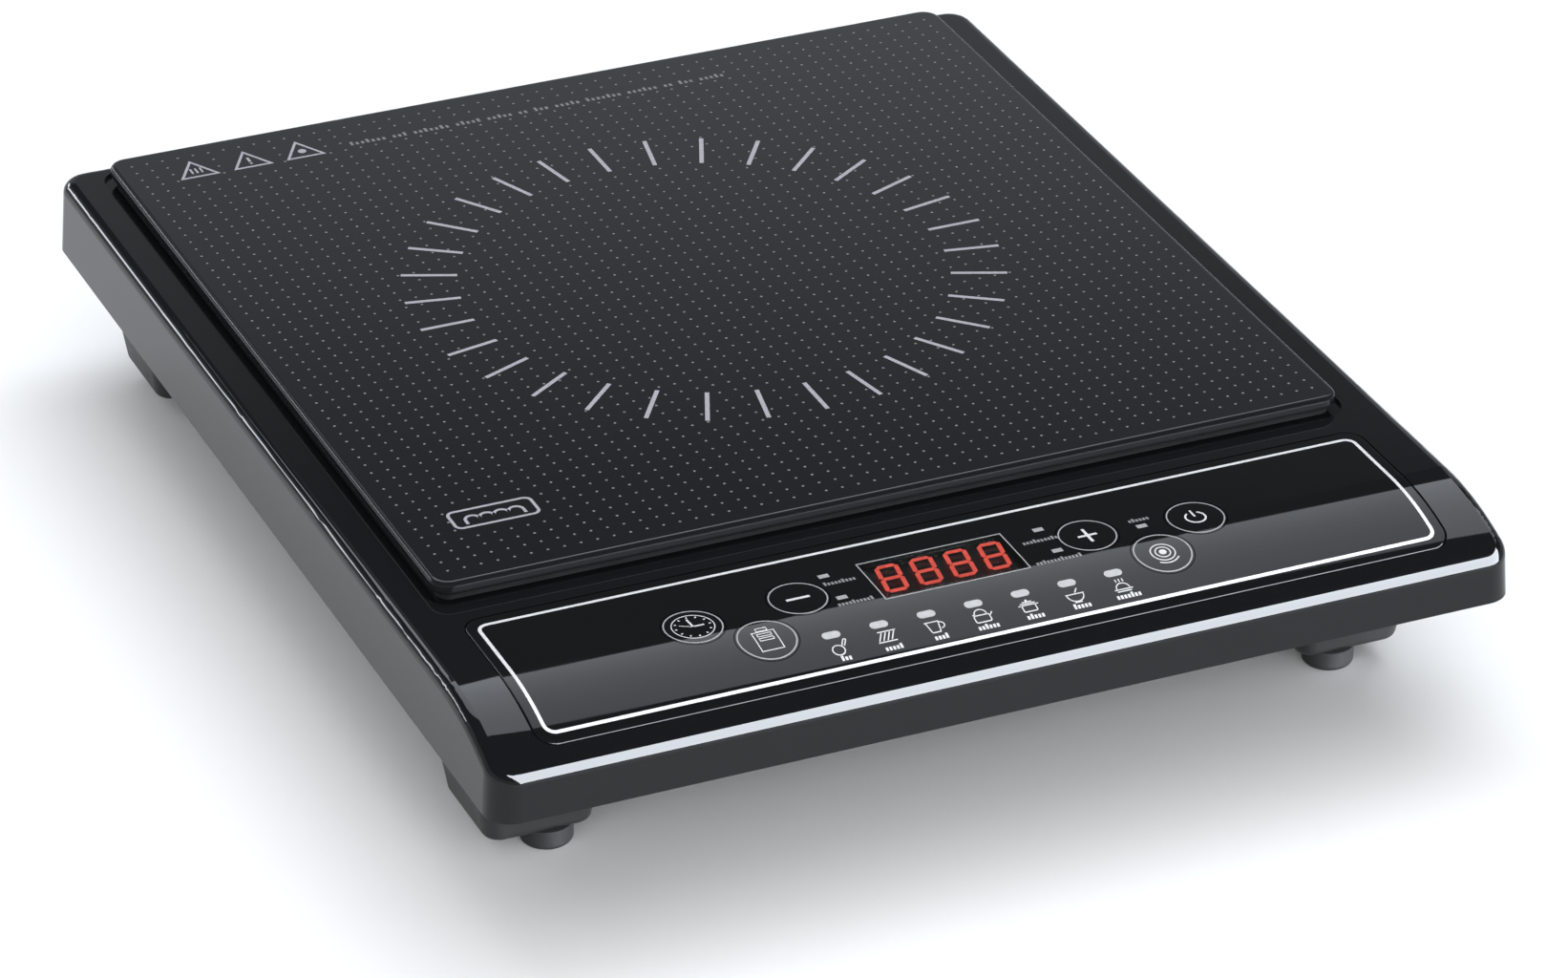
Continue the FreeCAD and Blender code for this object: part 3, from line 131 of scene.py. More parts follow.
class Graph:
    """The node tree of one material."""

    def __init__(self, name: str) -> None:
        """Start an empty material of this name.

        Args:
            name: The material's name.
        """
        self.material = bpy.data.materials.new(name)
        self.material.use_nodes = True
        self.tree = self.material.node_tree
        self.tree.nodes.clear()

    def add(
        self,
        kind: str,
        settings: Mapping[str, Any],
        sockets: Mapping[Union[int, str], Any],
        output: Union[int, str] = 0,
    ) -> Socket:
        """Add one node.

        Args:
            kind: The node's type.
            settings: Its own settings, and "stops" for a ramp's (place, colour) pairs.
            sockets: A value or a Socket for each input that isn't left at its default.
            output: The output to hand back.

        Returns:
            The chosen output.
        """
        node = self.tree.nodes.new(kind)
        for name, value in settings.items():
            if name == "stops":
                self._set_stops(node.color_ramp, value)
            else:
                setattr(node, name, value)
        for key, value in sockets.items():
            if isinstance(value, Socket):
                self.tree.links.new(value.link, node.inputs[key])
            else:
                node.inputs[key].default_value = value
        return Socket(self, node.outputs[output])

    @staticmethod
    def _set_stops(ramp: bpy.types.ColorRamp, stops: Sequence[tuple[float, Colour]]) -> None:
        """Replace a ramp's stops by the given places and colours.

        Args:
            ramp: The node's ramp.
            stops: The place and colour of each stop.
        """
        while len(ramp.elements) < len(stops):
            ramp.elements.new(1.0)
        for element, (place, colour) in zip(ramp.elements, stops):
            element.position = place
            element.color = colour

    @cached_property
    def place(self) -> Socket:
        """The point on the piece, in metres."""
        return self.add("ShaderNodeTexCoord", {}, {}, "Object")

    def stretched(self, stretch: Sequence[float]) -> Socket:
        """Return the point with each axis scaled by stretch."""
        return self.add("ShaderNodeMapping", {}, {"Vector": self.place, "Scale": tuple(stretch)})

    def axis(self, name: str) -> Socket:
        """Return one coordinate, X, Y or Z, of the point in metres."""
        return self.add("ShaderNodeSeparateXYZ", {}, {"Vector": self.place}, name)

    def noise(
        self, size: float, detail: float = 2.0, stretch: Sequence[float] = (1.0, 1.0, 1.0)
    ) -> Socket:
        """Return soft noise from 0 to 1 whose features are about size metres wide."""
        sockets = {"Vector": self.stretched(stretch), "Scale": 1.0 / size, "Detail": detail}
        return self.add("ShaderNodeTexNoise", {"noise_dimensions": "3D"}, sockets, 0)

    def cells(self, size: float, output: str = "Distance") -> Socket:
        """Return a cell pattern whose cells are about size metres wide."""
        return self.add("ShaderNodeTexVoronoi", {}, {"Vector": self.place, "Scale": 1.0 / size}, output)

    def bands(self, size: float, direction: str, distortion: float = 0.0) -> Socket:
        """Return parallel bands from 0 to 1, one every size metres.

        Args:
            size: The distance from band to band.
            direction: The axis that the bands follow each other along, or DIAGONAL.
            distortion: How far the bands wander.

        Returns:
            The height of the bands.
        """
        settings = {"wave_type": "BANDS", "bands_direction": direction}
        sockets = {"Vector": self.place, "Scale": WAVE_PERIOD / size, "Distortion": distortion}
        return self.add("ShaderNodeTexWave", settings, sockets, 1)

    def clamp(self, value: Number, low: float, high: float) -> Socket:
        """Return value mapped from low..high to 0..1 and held inside.

        Args:
            value: What is mapped.
            low: The value that gives 0.
            high: The value that gives 1.

        Returns:
            The mapped value.
        """
        settings = {"clamp": True}
        sockets = {"Value": value, "From Min": low, "From Max": high}
        return self.add("ShaderNodeMapRange", settings, sockets)

    def blend(self, factor: Number, first: Any, second: Any) -> Socket:
        """Return the colour between first and second."""
        settings = {"data_type": "RGBA", "blend_type": "MIX"}
        return self.add("ShaderNodeMix", settings, {0: factor, 6: first, 7: second}, 2)

    def bump(self, height: Number, depth: float, strength: float = 1.0) -> Socket:
        """Return the normal of a relief that is depth metres deep."""
        sockets = {"Height": height, "Distance": depth, "Strength": strength}
        return self.add("ShaderNodeBump", {}, sockets)

    def principled(self, sockets: Mapping[str, Any]) -> Socket:
        """Return a Principled shader with these inputs."""
        return self.add("ShaderNodeBsdfPrincipled", {}, sockets)

    def finish(self, shader: Socket) -> bpy.types.Material:
        """Link a shader to the material's surface and return the material.

        Args:
            shader: The shader of the surface.

        Returns:
            The finished material.
        """
        node = self.tree.nodes.new("ShaderNodeOutputMaterial")
        self.tree.links.new(shader.link, node.inputs["Surface"])
        return self.material


# ---------------------------------------------------------------- finishes


class Grain(Enum):
    """The fine relief of a surface."""

    PEEL = "soft ripple of a polished moulding"
    SPARK = "fine texture of an eroded mould"
    BRUSHED = "long scratches along X"
    STRANDS = "twisted strands"
    FLAKES = "overlapping flakes"
    LAYERS = "stacked sheets"
    RIBS = "ribs that follow each other along X"
    SPECKS = "pressed powder"


@dataclass(frozen=True)
class Finish:
    """A surface finish that makes its material when it is first asked for.

    Attributes:
        name: The material's name.
    """

    name: str

    @cached_property
    def material(self) -> bpy.types.Material:
        """The material, made once."""
        graph = Graph(self.name)
        return graph.finish(graph.principled(self.sockets(graph)))

    def sockets(self, graph: Graph) -> dict[str, Any]:
        """Return what feeds the Principled shader."""
        raise NotImplementedError


@dataclass(frozen=True)
class Material(Finish):
    """An opaque solid: a mottled colour, an uneven gloss and a fine grain.

    Attributes:
        colour: The main colour.
        second: The colour of the mottling, and the painted shade in the low places of the grain.
        roughness: The mean roughness.
        spread: How far the roughness strays from its mean.
        grain: The kind of relief.
        grain_size: The width of one feature of the relief.
        grain_depth: The depth of the relief.
        patch: The width of one patch of mottling.
        painted_cavity_shade: How much of the second colour is painted as shade in the low places of the
            grain.
        metallic: 1 for bare metal.
        coat: The weight of a clear coat.
        specular: The level of the reflection at right angles, 0.5 for plain plastic.
    """

    colour: Colour
    second: Colour
    roughness: float
    spread: float
    grain: Grain
    grain_size: float
    grain_depth: float
    patch: float = 12 * MM
    painted_cavity_shade: float = 0.0
    metallic: float = 0.0
    coat: float = 0.0
    specular: float = 0.5

    def relief(self, graph: Graph) -> Socket:
        """Return the height of the grain from 0 to 1.

        Args:
            graph: The graph that the nodes go into.

        Returns:
            The height.
        """
        size = self.grain_size
        if self.grain is Grain.PEEL:
            return graph.noise(size, 1.0)
        if self.grain is Grain.SPARK:
            return graph.noise(size, 4.0) * 0.7 + graph.cells(size) * 0.3
        if self.grain is Grain.BRUSHED:
            return graph.noise(size, 3.0, (0.03, 1.0, 1.0))
        if self.grain is Grain.STRANDS:
            return graph.bands(size, "DIAGONAL", 1.5) * 0.8 + graph.noise(size, 2.0) * 0.2
        if self.grain is Grain.FLAKES:
            return graph.cells(size) * 0.6 + graph.noise(size * 3, 3.0) * 0.4
        if self.grain is Grain.LAYERS:
            return graph.bands(size, "Z", 0.4)
        if self.grain is Grain.RIBS:
            return graph.bands(size, "X")
        return graph.cells(size) * 0.5 + graph.noise(size * 0.5, 2.0) * 0.5

    def sockets(self, graph: Graph) -> dict[str, Any]:
        """Return what feeds the Principled shader.

        Args:
            graph: The graph that the nodes go into.

        Returns:
            The inputs by name.
        """
        height = self.relief(graph)
        mottle = graph.clamp(graph.noise(self.patch, 3.0), 0.3, 0.7)
        # Mottling, plus painted shade: the darker second colour is painted into the low places of the
        # grain.
        tint = mottle * (1.0 - self.painted_cavity_shade) + (1.0 - height) * self.painted_cavity_shade
        smear = graph.noise(self.patch * 0.6, 4.0) - 0.5
        return {
            "Base Color": graph.blend(tint, self.colour, self.second),
            "Roughness": smear * (2 * self.spread) + self.roughness,
            "Metallic": self.metallic,
            "Coat Weight": self.coat,
            "Coat Roughness": 0.04,
            "Specular IOR Level": self.specular,
            "Normal": graph.bump(height, self.grain_depth),
        }


@dataclass(frozen=True)
class GlossMoulding(Finish):
    """Polished black moulding: a slow ripple, faint wipe marks and a little dust.

    Attributes:
        colour: The main colour.
        dust: The colour of dust specks.
        roughness: The roughness where it is clean.
        wiped: What a wipe mark adds to the roughness.
        ripple_size: The width of one ripple.
        ripple_depth: The depth of a ripple.
        dust_size: The distance between places where a speck can lie.
        specular: The level of the reflection at right angles.
    """

    colour: Colour = grey(0.0070, (0.93, 1.0, 1.12))
    dust: Colour = grey(0.022)
    roughness: float = 0.03
    wiped: float = 0.03
    ripple_size: float = 9 * MM
    ripple_depth: float = 0.004 * MM
    dust_size: float = 1.6 * MM
    specular: float = 0.24

    def sockets(self, graph: Graph) -> dict[str, Any]:
        """Return what feeds the Principled shader.

        Args:
            graph: The graph that the nodes go into.

        Returns:
            The inputs by name.
        """
        wipe = graph.noise(26 * MM, 5.0, (1.0, 0.35, 1.0))
        specks = graph.clamp(graph.cells(self.dust_size), 0.10, 0.02)
        rare = graph.noise(14 * MM, 1.0) > 0.56
        ripple = graph.noise(self.ripple_size, 1.0)
        return {
            "Base Color": graph.blend(specks * rare * 0.5, self.colour, self.dust),
            "Roughness": graph.clamp(wipe, 0.42, 0.8) * self.wiped + self.roughness,
            "Specular IOR Level": self.specular,
            "Normal": graph.bump(ripple, self.ripple_depth),
        }


@dataclass(frozen=True)
class CeramicGlass(Finish):
    """Black ceramic glass: polished on its face, ground round its edge.

    Attributes:
        face_height: The height of the plate's face, below which it is edge.
        colour: The main colour.
        fleck: The colour of the fine flecks in it.
        face_roughness: The roughness of the clean face.
        edge_roughness: The roughness of the ground edge.
    """

    face_height: float
    colour: Colour = grey(0.0085, (0.88, 1.0, 1.10))
    fleck: Colour = grey(0.013, (0.90, 1.0, 1.08))
    face_roughness: float = 0.055
    edge_roughness: float = 0.16

    @cached_property
    def material(self) -> bpy.types.Material:
        """The material, with the face and the ground edge mixed by height.

        Returns:
            The material.
        """
        graph = Graph(self.name)
        face = graph.axis("Z") > (self.face_height - 0.02 * MM)
        edge = graph.principled(self.edge_sockets(graph))
        sockets = {0: face, 1: edge, 2: graph.principled(self.sockets(graph))}
        return graph.finish(graph.add("ShaderNodeMixShader", {}, sockets))

    def edge_sockets(self, graph: Graph) -> dict[str, Any]:
        """Return what feeds the edge's Principled shader.

        Args:
            graph: The graph that the nodes go into.

        Returns:
            The inputs by name.
        """
        ground = graph.noise(0.8 * MM, 3.0, (1.0, 1.0, 3.0))
        return {
            "Base Color": graph.blend(ground, self.colour, self.fleck),
            "Roughness": ground * 0.08 + self.edge_roughness,
            "Specular IOR Level": 0.10,
            "Normal": graph.bump(ground, 0.001 * MM),
        }

    def sockets(self, graph: Graph) -> dict[str, Any]:
        """Return what feeds the face's Principled shader.

        Args:
            graph: The graph that the nodes go into.

        Returns:
            The inputs by name.
        """
        fleck = graph.clamp(graph.noise(0.5 * MM, 2.0), 0.35, 0.75)
        wipe = graph.noise(40 * MM, 5.0, (1.0, 0.5, 1.0))
        return {
            "Base Color": graph.blend(fleck, self.colour, self.fleck),
            "Roughness": graph.clamp(wipe, 0.35, 0.75) * 0.03 + self.face_roughness,
            "Specular IOR Level": 0.42,
            "Normal": graph.bump(graph.noise(0.35 * MM, 2.0), 0.0006 * MM),
        }


@dataclass(frozen=True)
class Ink(Finish):
    """Screen-printed ink: slightly uneven cover with a fine mesh mark.

    Attributes:
        slot: Its slot in the record; not used.
        colour: The colour where it covers well.
        worn: The colour where it is thin.
        roughness: The lowest roughness.
        metallic: How metallic it is.
        mesh_size: The width of the screen's mesh.
    """

    slot: str
    colour: Colour
    worn: Colour
    roughness: float = 0.38
    metallic: float = 0.0
    mesh_size: float = 0.25 * MM

    def sockets(self, graph: Graph) -> dict[str, Any]:
        """Return what feeds the Principled shader.

        Args:
            graph: The graph that the nodes go into.

        Returns:
            The inputs by name.
        """
        cover = graph.clamp(graph.noise(1.1 * MM, 3.0), 0.35, 0.8)
        mesh = graph.noise(self.mesh_size, 1.0)
        return {
            "Base Color": graph.blend(cover, self.colour, self.worn),
            "Roughness": mesh * 0.12 + self.roughness,
            "Metallic": self.metallic,
            "Normal": graph.bump(mesh, 0.003 * MM),
        }


@dataclass(frozen=True)
class LitSegment(Finish):
    """Red light segment, a little hotter in its middle patches.

    Attributes:
        colour: The light of the dimmer patches.
        hot: The light of the brighter ones.
        strength: The brightness.
        slot: Its slot in the record; not used.
    """

    colour: Colour = (0.72, 0.045, 0.022, 1.0)
    hot: Colour = (0.95, 0.085, 0.04, 1.0)
    strength: float = 1.25
    slot: str = "digit_red"

    def sockets(self, graph: Graph) -> dict[str, Any]:
        """Return what feeds the Principled shader.

        Args:
            graph: The graph that the nodes go into.

        Returns:
            The inputs by name.
        """
        patch = graph.clamp(graph.noise(1.4 * MM, 2.0), 0.3, 0.7)
        glow = graph.blend(patch, self.colour, self.hot)
        return {
            "Base Color": graph.blend(patch, grey(0.05, (1.0, 0.2, 0.15)), grey(0.08, (1.0, 0.3, 0.2))),
            "Roughness": patch * 0.1 + 0.35,
            "Emission Color": glow,
            "Emission Strength": self.strength,
        }


@dataclass(frozen=True)
class SmokedClear(Finish):
    """Smoked clear plastic that the digits shine through.

    Attributes:
        colour: The main colour.
        haze: The colour of its wipe marks.
        cover: How much of what is behind it is hidden.
        roughness: The roughness where it is clean.
    """

    colour: Colour = grey(0.004)
    haze: Colour = grey(0.008)
    cover: float = 0.42
    roughness: float = 0.05

    def sockets(self, graph: Graph) -> dict[str, Any]:
        """Return what feeds the Principled shader.

        Args:
            graph: The graph that the nodes go into.

        Returns:
            The inputs by name.
        """
        wipe = graph.clamp(graph.noise(11 * MM, 4.0), 0.4, 0.8)
        return {
            "Base Color": graph.blend(wipe, self.colour, self.haze),
            "Roughness": wipe * 0.05 + self.roughness,
            "Alpha": wipe * 0.06 + self.cover,
            "Normal": graph.bump(graph.noise(7 * MM, 1.0), 0.003 * MM),
        }


@dataclass(frozen=True)
class BoardLaminate(Finish):
    """Green circuit board: solder mask over tracks, with tinned pads.

    Attributes:
        mask: The solder mask over bare board.
        track: The solder mask over copper.
        tin: The tinned pads.
    """

    mask: Colour = (0.012, 0.085, 0.035, 1.0)
    track: Colour = (0.03, 0.16, 0.06, 1.0)
    tin: Colour = (0.62, 0.62, 0.60, 1.0)

    def sockets(self, graph: Graph) -> dict[str, Any]:
        """Return what feeds the Principled shader.

        Args:
            graph: The graph that the nodes go into.

        Returns:
            The inputs by name.
        """
        settings = {"feature": "F1", "distance": "CHEBYCHEV"}
        sockets = {"Vector": graph.place, "Scale": 1.0 / (4.5 * MM)}
        squares = graph.add("ShaderNodeTexVoronoi", settings, sockets, "Distance")
        tracks = graph.bands(1.6 * MM, "X", 2.0) > 0.72
        pads = graph.cells(3.2 * MM) < 0.16
        raised = graph.clamp(squares, 0.20, 0.24) * 0.5 + tracks * 0.5
        copper = graph.blend(raised, self.mask, self.track)
        return {
            "Base Color": graph.blend(pads, copper, self.tin),
            "Roughness": pads * 0.05 + graph.noise(6 * MM, 3.0) * 0.1 + 0.24,
            "Metallic": pads * 0.9,
            "Normal": graph.bump(raised + pads, 0.02 * MM),
        }


def dimmed(colour: Colour, share: float) -> Colour:
    """Return a colour with its channels at a share of their value."""
    return tuple(channel * share for channel in colour[:3]) + (1.0,)


def plastic(
    name: str, colour: Colour, roughness: float = 0.45,
    size: float = 0.35 * MM, depth: float = 0.006 * MM,
) -> Material:
    """Return a matt moulding with the fine texture of an eroded mould."""
    return Material(name, colour, dimmed(colour, 0.82), roughness, 0.06, Grain.SPARK, size, depth)


def metal(name: str, colour: Colour, roughness: float = 0.3) -> Material:
    """Return a bare metal with long fine scratches.

    Args:
        name: The material's name.
        colour: The bare metal.
        roughness: The mean roughness.

    Returns:
        The finish.
    """
    second = dimmed(colour, 0.78)
    grain = (Grain.BRUSHED, 0.5 * MM, 0.002 * MM)
    return Material(name, colour, second, roughness, 0.08, *grain, metallic=1.0)


def wound(name: str, colour: Colour, second: Colour, size: float, metallic: float = 0.75) -> Material:
    """Return wire whose strands show.

    Args:
        name: The material's name.
        colour: The colour of the strands.
        second: The darker colour painted between the strands as shade, also used for mottling.
        size: The distance from strand to strand.
        metallic: How metallic it is.

    Returns:
        The finish.
    """
    # Most of the second colour is painted shade in the low places between the strands.
    return Material(
        name, colour, second, 0.34, 0.06, Grain.STRANDS, size, 0.08 * MM,
        painted_cavity_shade=0.7, metallic=metallic, coat=0.3,
    )


@dataclass(frozen=True)
class FinishBook:
    """Every finish of the cooktop, by the record's slot names.

    Attributes:
        glass_height: The height of the glass plate's face.
    """

    glass_height: float

    @cached_property
    def finishes(self) -> dict[str, Finish]:
        """Each slot's finish.

        Returns:
            The finishes by slot.
        """
        rubber = Material(
            "feet_rubber", grey(0.012), grey(0.02), 0.62, 0.08, Grain.SPECKS, 0.4 * MM, 0.01 * MM,
            specular=0.35,
        )
        listed = [
            ("housing_gloss", GlossMoulding("gloss_black_housing")),
            ("ceramic_glass", CeramicGlass("black_ceramic_glass", self.glass_height)),
            ("silicone", Material(
                "gasket_silicone", grey(0.010), grey(0.016), 0.6, 0.06, Grain.PEEL, 1.5 * MM, 0.01 * MM)),
            ("panel_film", GlossMoulding(
                "panel_gloss_film", colour=grey(0.0070, (0.90, 1.0, 1.08)), ripple_size=16 * MM,
                ripple_depth=0.002 * MM, roughness=0.03, specular=0.15)),
            ("smoked_window", SmokedClear("smoked_display_window")),
            ("lens_white", Material(
                "lens_milky", grey(0.36, (1.0, 1.01, 1.02)), grey(0.30), 0.22, 0.05, Grain.PEEL, 1.2 * MM,
                0.01 * MM, patch=2 * MM, coat=0.3)),
            ("switch_plastic", plastic("switch_black_nylon", grey(0.02))),
            ("circuit_board", BoardLaminate("green_circuit_board")),
            ("screw_steel", metal("zinc_plated_screws", grey(0.55, (1.0, 0.98, 0.92)), 0.28)),
            ("display_block", plastic("display_black_face", grey(0.010), 0.35)),
            ("lamp_resin", Material(
                "lamp_clear_resin", grey(0.5, (1.0, 0.9, 0.85)), grey(0.38), 0.1, 0.03, Grain.PEEL, 1 * MM,
                0.01 * MM, coat=0.6)),
            ("chip_resin", plastic("chip_black_resin", grey(0.015), 0.5, 0.25 * MM)),
            ("connector_nylon", plastic("connector_cream_nylon", (0.62, 0.58, 0.46, 1.0), 0.4)),
            # Painted shade: the darker second grey lies in the grooves between the ribs.
            ("ribbon_insulation", Material(
                "ribbon_grey_vinyl", grey(0.36), grey(0.2), 0.42, 0.05, Grain.RIBS, 1.27 * MM, 0.15 * MM,
                painted_cavity_shade=0.6)),
            ("case_matt", plastic("bottom_case_black", grey(0.0095), 0.48, 0.45 * MM, 0.012 * MM)),
            ("foot_rubber", rubber),
            ("litz_copper", wound(
                "coil_litz_copper", (0.66, 0.25, 0.09, 1.0), (0.24, 0.07, 0.02, 1.0), 0.7 * MM)),
            ("former_plastic", plastic("coil_former_nylon", (0.50, 0.47, 0.40, 1.0), 0.5)),
            ("ferrite", Material(
                "ferrite_sintered", grey(0.035), grey(0.07), 0.55, 0.08, Grain.SPECKS, 0.5 * MM, 0.02 * MM,
                patch=4 * MM)),
            ("mica", Material(
                "mica_sheet", (0.52, 0.47, 0.36, 1.0), (0.34, 0.30, 0.23, 1.0), 0.3, 0.12, Grain.FLAKES,
                3 * MM, 0.03 * MM, patch=6 * MM, coat=0.3)),
            # Painted shade: the darker second colour lies in the low places between the strands.
            ("lead_insulation", Material(
                "lead_glass_sleeve", (0.62, 0.60, 0.55, 1.0), (0.46, 0.44, 0.40, 1.0), 0.6, 0.05,
                Grain.STRANDS, 0.5 * MM, 0.05 * MM, painted_cavity_shade=0.5)),
            ("terminal_brass", metal("terminal_brass", (0.72, 0.52, 0.2, 1.0), 0.26)),
            ("fan_plastic", plastic("fan_black_plastic", grey(0.014), 0.42)),
            ("motor_winding", wound(
                "motor_copper_winding", (0.6, 0.22, 0.08, 1.0), (0.2, 0.06, 0.02, 1.0), 0.5 * MM)),
            ("shaft_steel", metal("ground_steel_shaft", grey(0.6), 0.16)),
            ("sink_aluminium", metal("heat_sink_aluminium", grey(0.66, (0.98, 0.99, 1.0)), 0.33)),
            ("capacitor_box", Material(
                "capacitor_yellow_box", (0.60, 0.36, 0.03, 1.0), (0.50, 0.29, 0.02, 1.0), 0.3, 0.05,
                Grain.PEEL, 4 * MM, 0.02 * MM, coat=0.4)),
            ("choke_winding", wound(
                "choke_enamel_wire", (0.55, 0.17, 0.05, 1.0), (0.2, 0.05, 0.02, 1.0), 1.2 * MM)),
            ("can_sleeve", Material(
                "capacitor_can_sleeve", (0.015, 0.02, 0.09, 1.0), (0.03, 0.035, 0.12, 1.0), 0.25, 0.05,
                Grain.PEEL, 3 * MM, 0.02 * MM, coat=0.5)),
            # Painted shade: the darker second grey lies in the gaps between the stacked sheets.
            ("transformer_core", Material(
                "transformer_laminations", grey(0.11, (1.0, 0.96, 0.9)), grey(0.05), 0.42, 0.08,
                Grain.LAYERS, 0.7 * MM, 0.12 * MM, painted_cavity_shade=0.6, metallic=0.6)),
            ("fuse_glass", Material(
                "fuse_glass_tube", grey(0.62, (0.95, 1.0, 0.98)), grey(0.5), 0.08, 0.03, Grain.PEEL, 5 * MM,
                0.01 * MM, coat=1.0)),
        ]
        return dict(listed)

    @cached_property
    def ring_ink(self) -> Ink:
        """Pale ink of the glass plate's large marks."""
        tint = (0.98, 0.97, 1.08)
        return Ink("glass_pale_ink", "print_grey", grey(0.33, tint), grey(0.26, tint))

    @cached_property
    def dot_ink(self) -> Ink:
        """Dimmer ink of the glass plate's dots."""
        return Ink("glass_dot_ink", "print_grey", grey(0.15, (1.0, 1.02, 1.08)), grey(0.09))

    @cached_property
    def silver_ink(self) -> Ink:
        """Silver ink of the panel's lines."""
        return Ink("panel_silver_ink", "print_silver", grey(0.56), grey(0.46), roughness=0.34, metallic=0.2)

    @cached_property
    def white_ink(self) -> Ink:
        """White ink of the panel's symbols."""
        return Ink("panel_white_ink", "print_white", grey(0.60), grey(0.48))

    @cached_property
    def ring_silver_ink(self) -> Ink:
        """Duller silver ink of the rings round the keys and the display."""
        return Ink("panel_ring_ink", "print_silver", grey(0.27), grey(0.21), roughness=0.34, metallic=0.2)

    @cached_property
    def caption_ink(self) -> Ink:
        """Dim ink of the panel's captions."""
        return Ink("panel_caption_ink", "print_white", grey(0.17), grey(0.11))

    def dress(self, *nodes: str) -> None:
        """Give carried-over nodes the finish of their slot in the record.

        Args:
            nodes: The names of the nodes.
        """
        slots = {row["node"]: row["material_slot"] for row in frame["record"]["subparts"]}
        for node in nodes:
            piece = frame["nodes"][node]
            for place in piece.material_slots:
                place.material = self.finishes[slots[node]].material
            log.info("dressed %s with %s", node, self.finishes[slots[node]].name)


# ---------------------------------------------------------------- printed marks


@dataclass(frozen=True)
class TopFace:
    """Outer top face of the housing: flat, then curved down to the front.

    Attributes:
        front: Y of the front wall.
        top: Height of the flat part.
        run: How far behind the front wall the curve starts.
        radius: Radius of the curve.
        facet: How far apart the folds of a mark are on the curve.
    """

    front: float
    top: float
    run: float = 38.0 * MM
    radius: float = 74.6 * MM
    facet: float = 1.0 * MM

    def height(self, y: float) -> float:
        """Return the face's height at y."""
        reach = max(0.0, self.front + self.run - y)
        return self.top - self.radius + math.sqrt(self.radius ** 2 - reach ** 2)

    def row(self, distance: float) -> float:
        """Return Y of a row this far behind the front wall."""
        return self.front + distance

    def folds(self) -> list[float]:
        """Return the Y values at which a mark is divided to follow the curve."""
        count = int(self.run / self.facet)
        return [self.front + self.run - index * self.facet for index in range(count)]


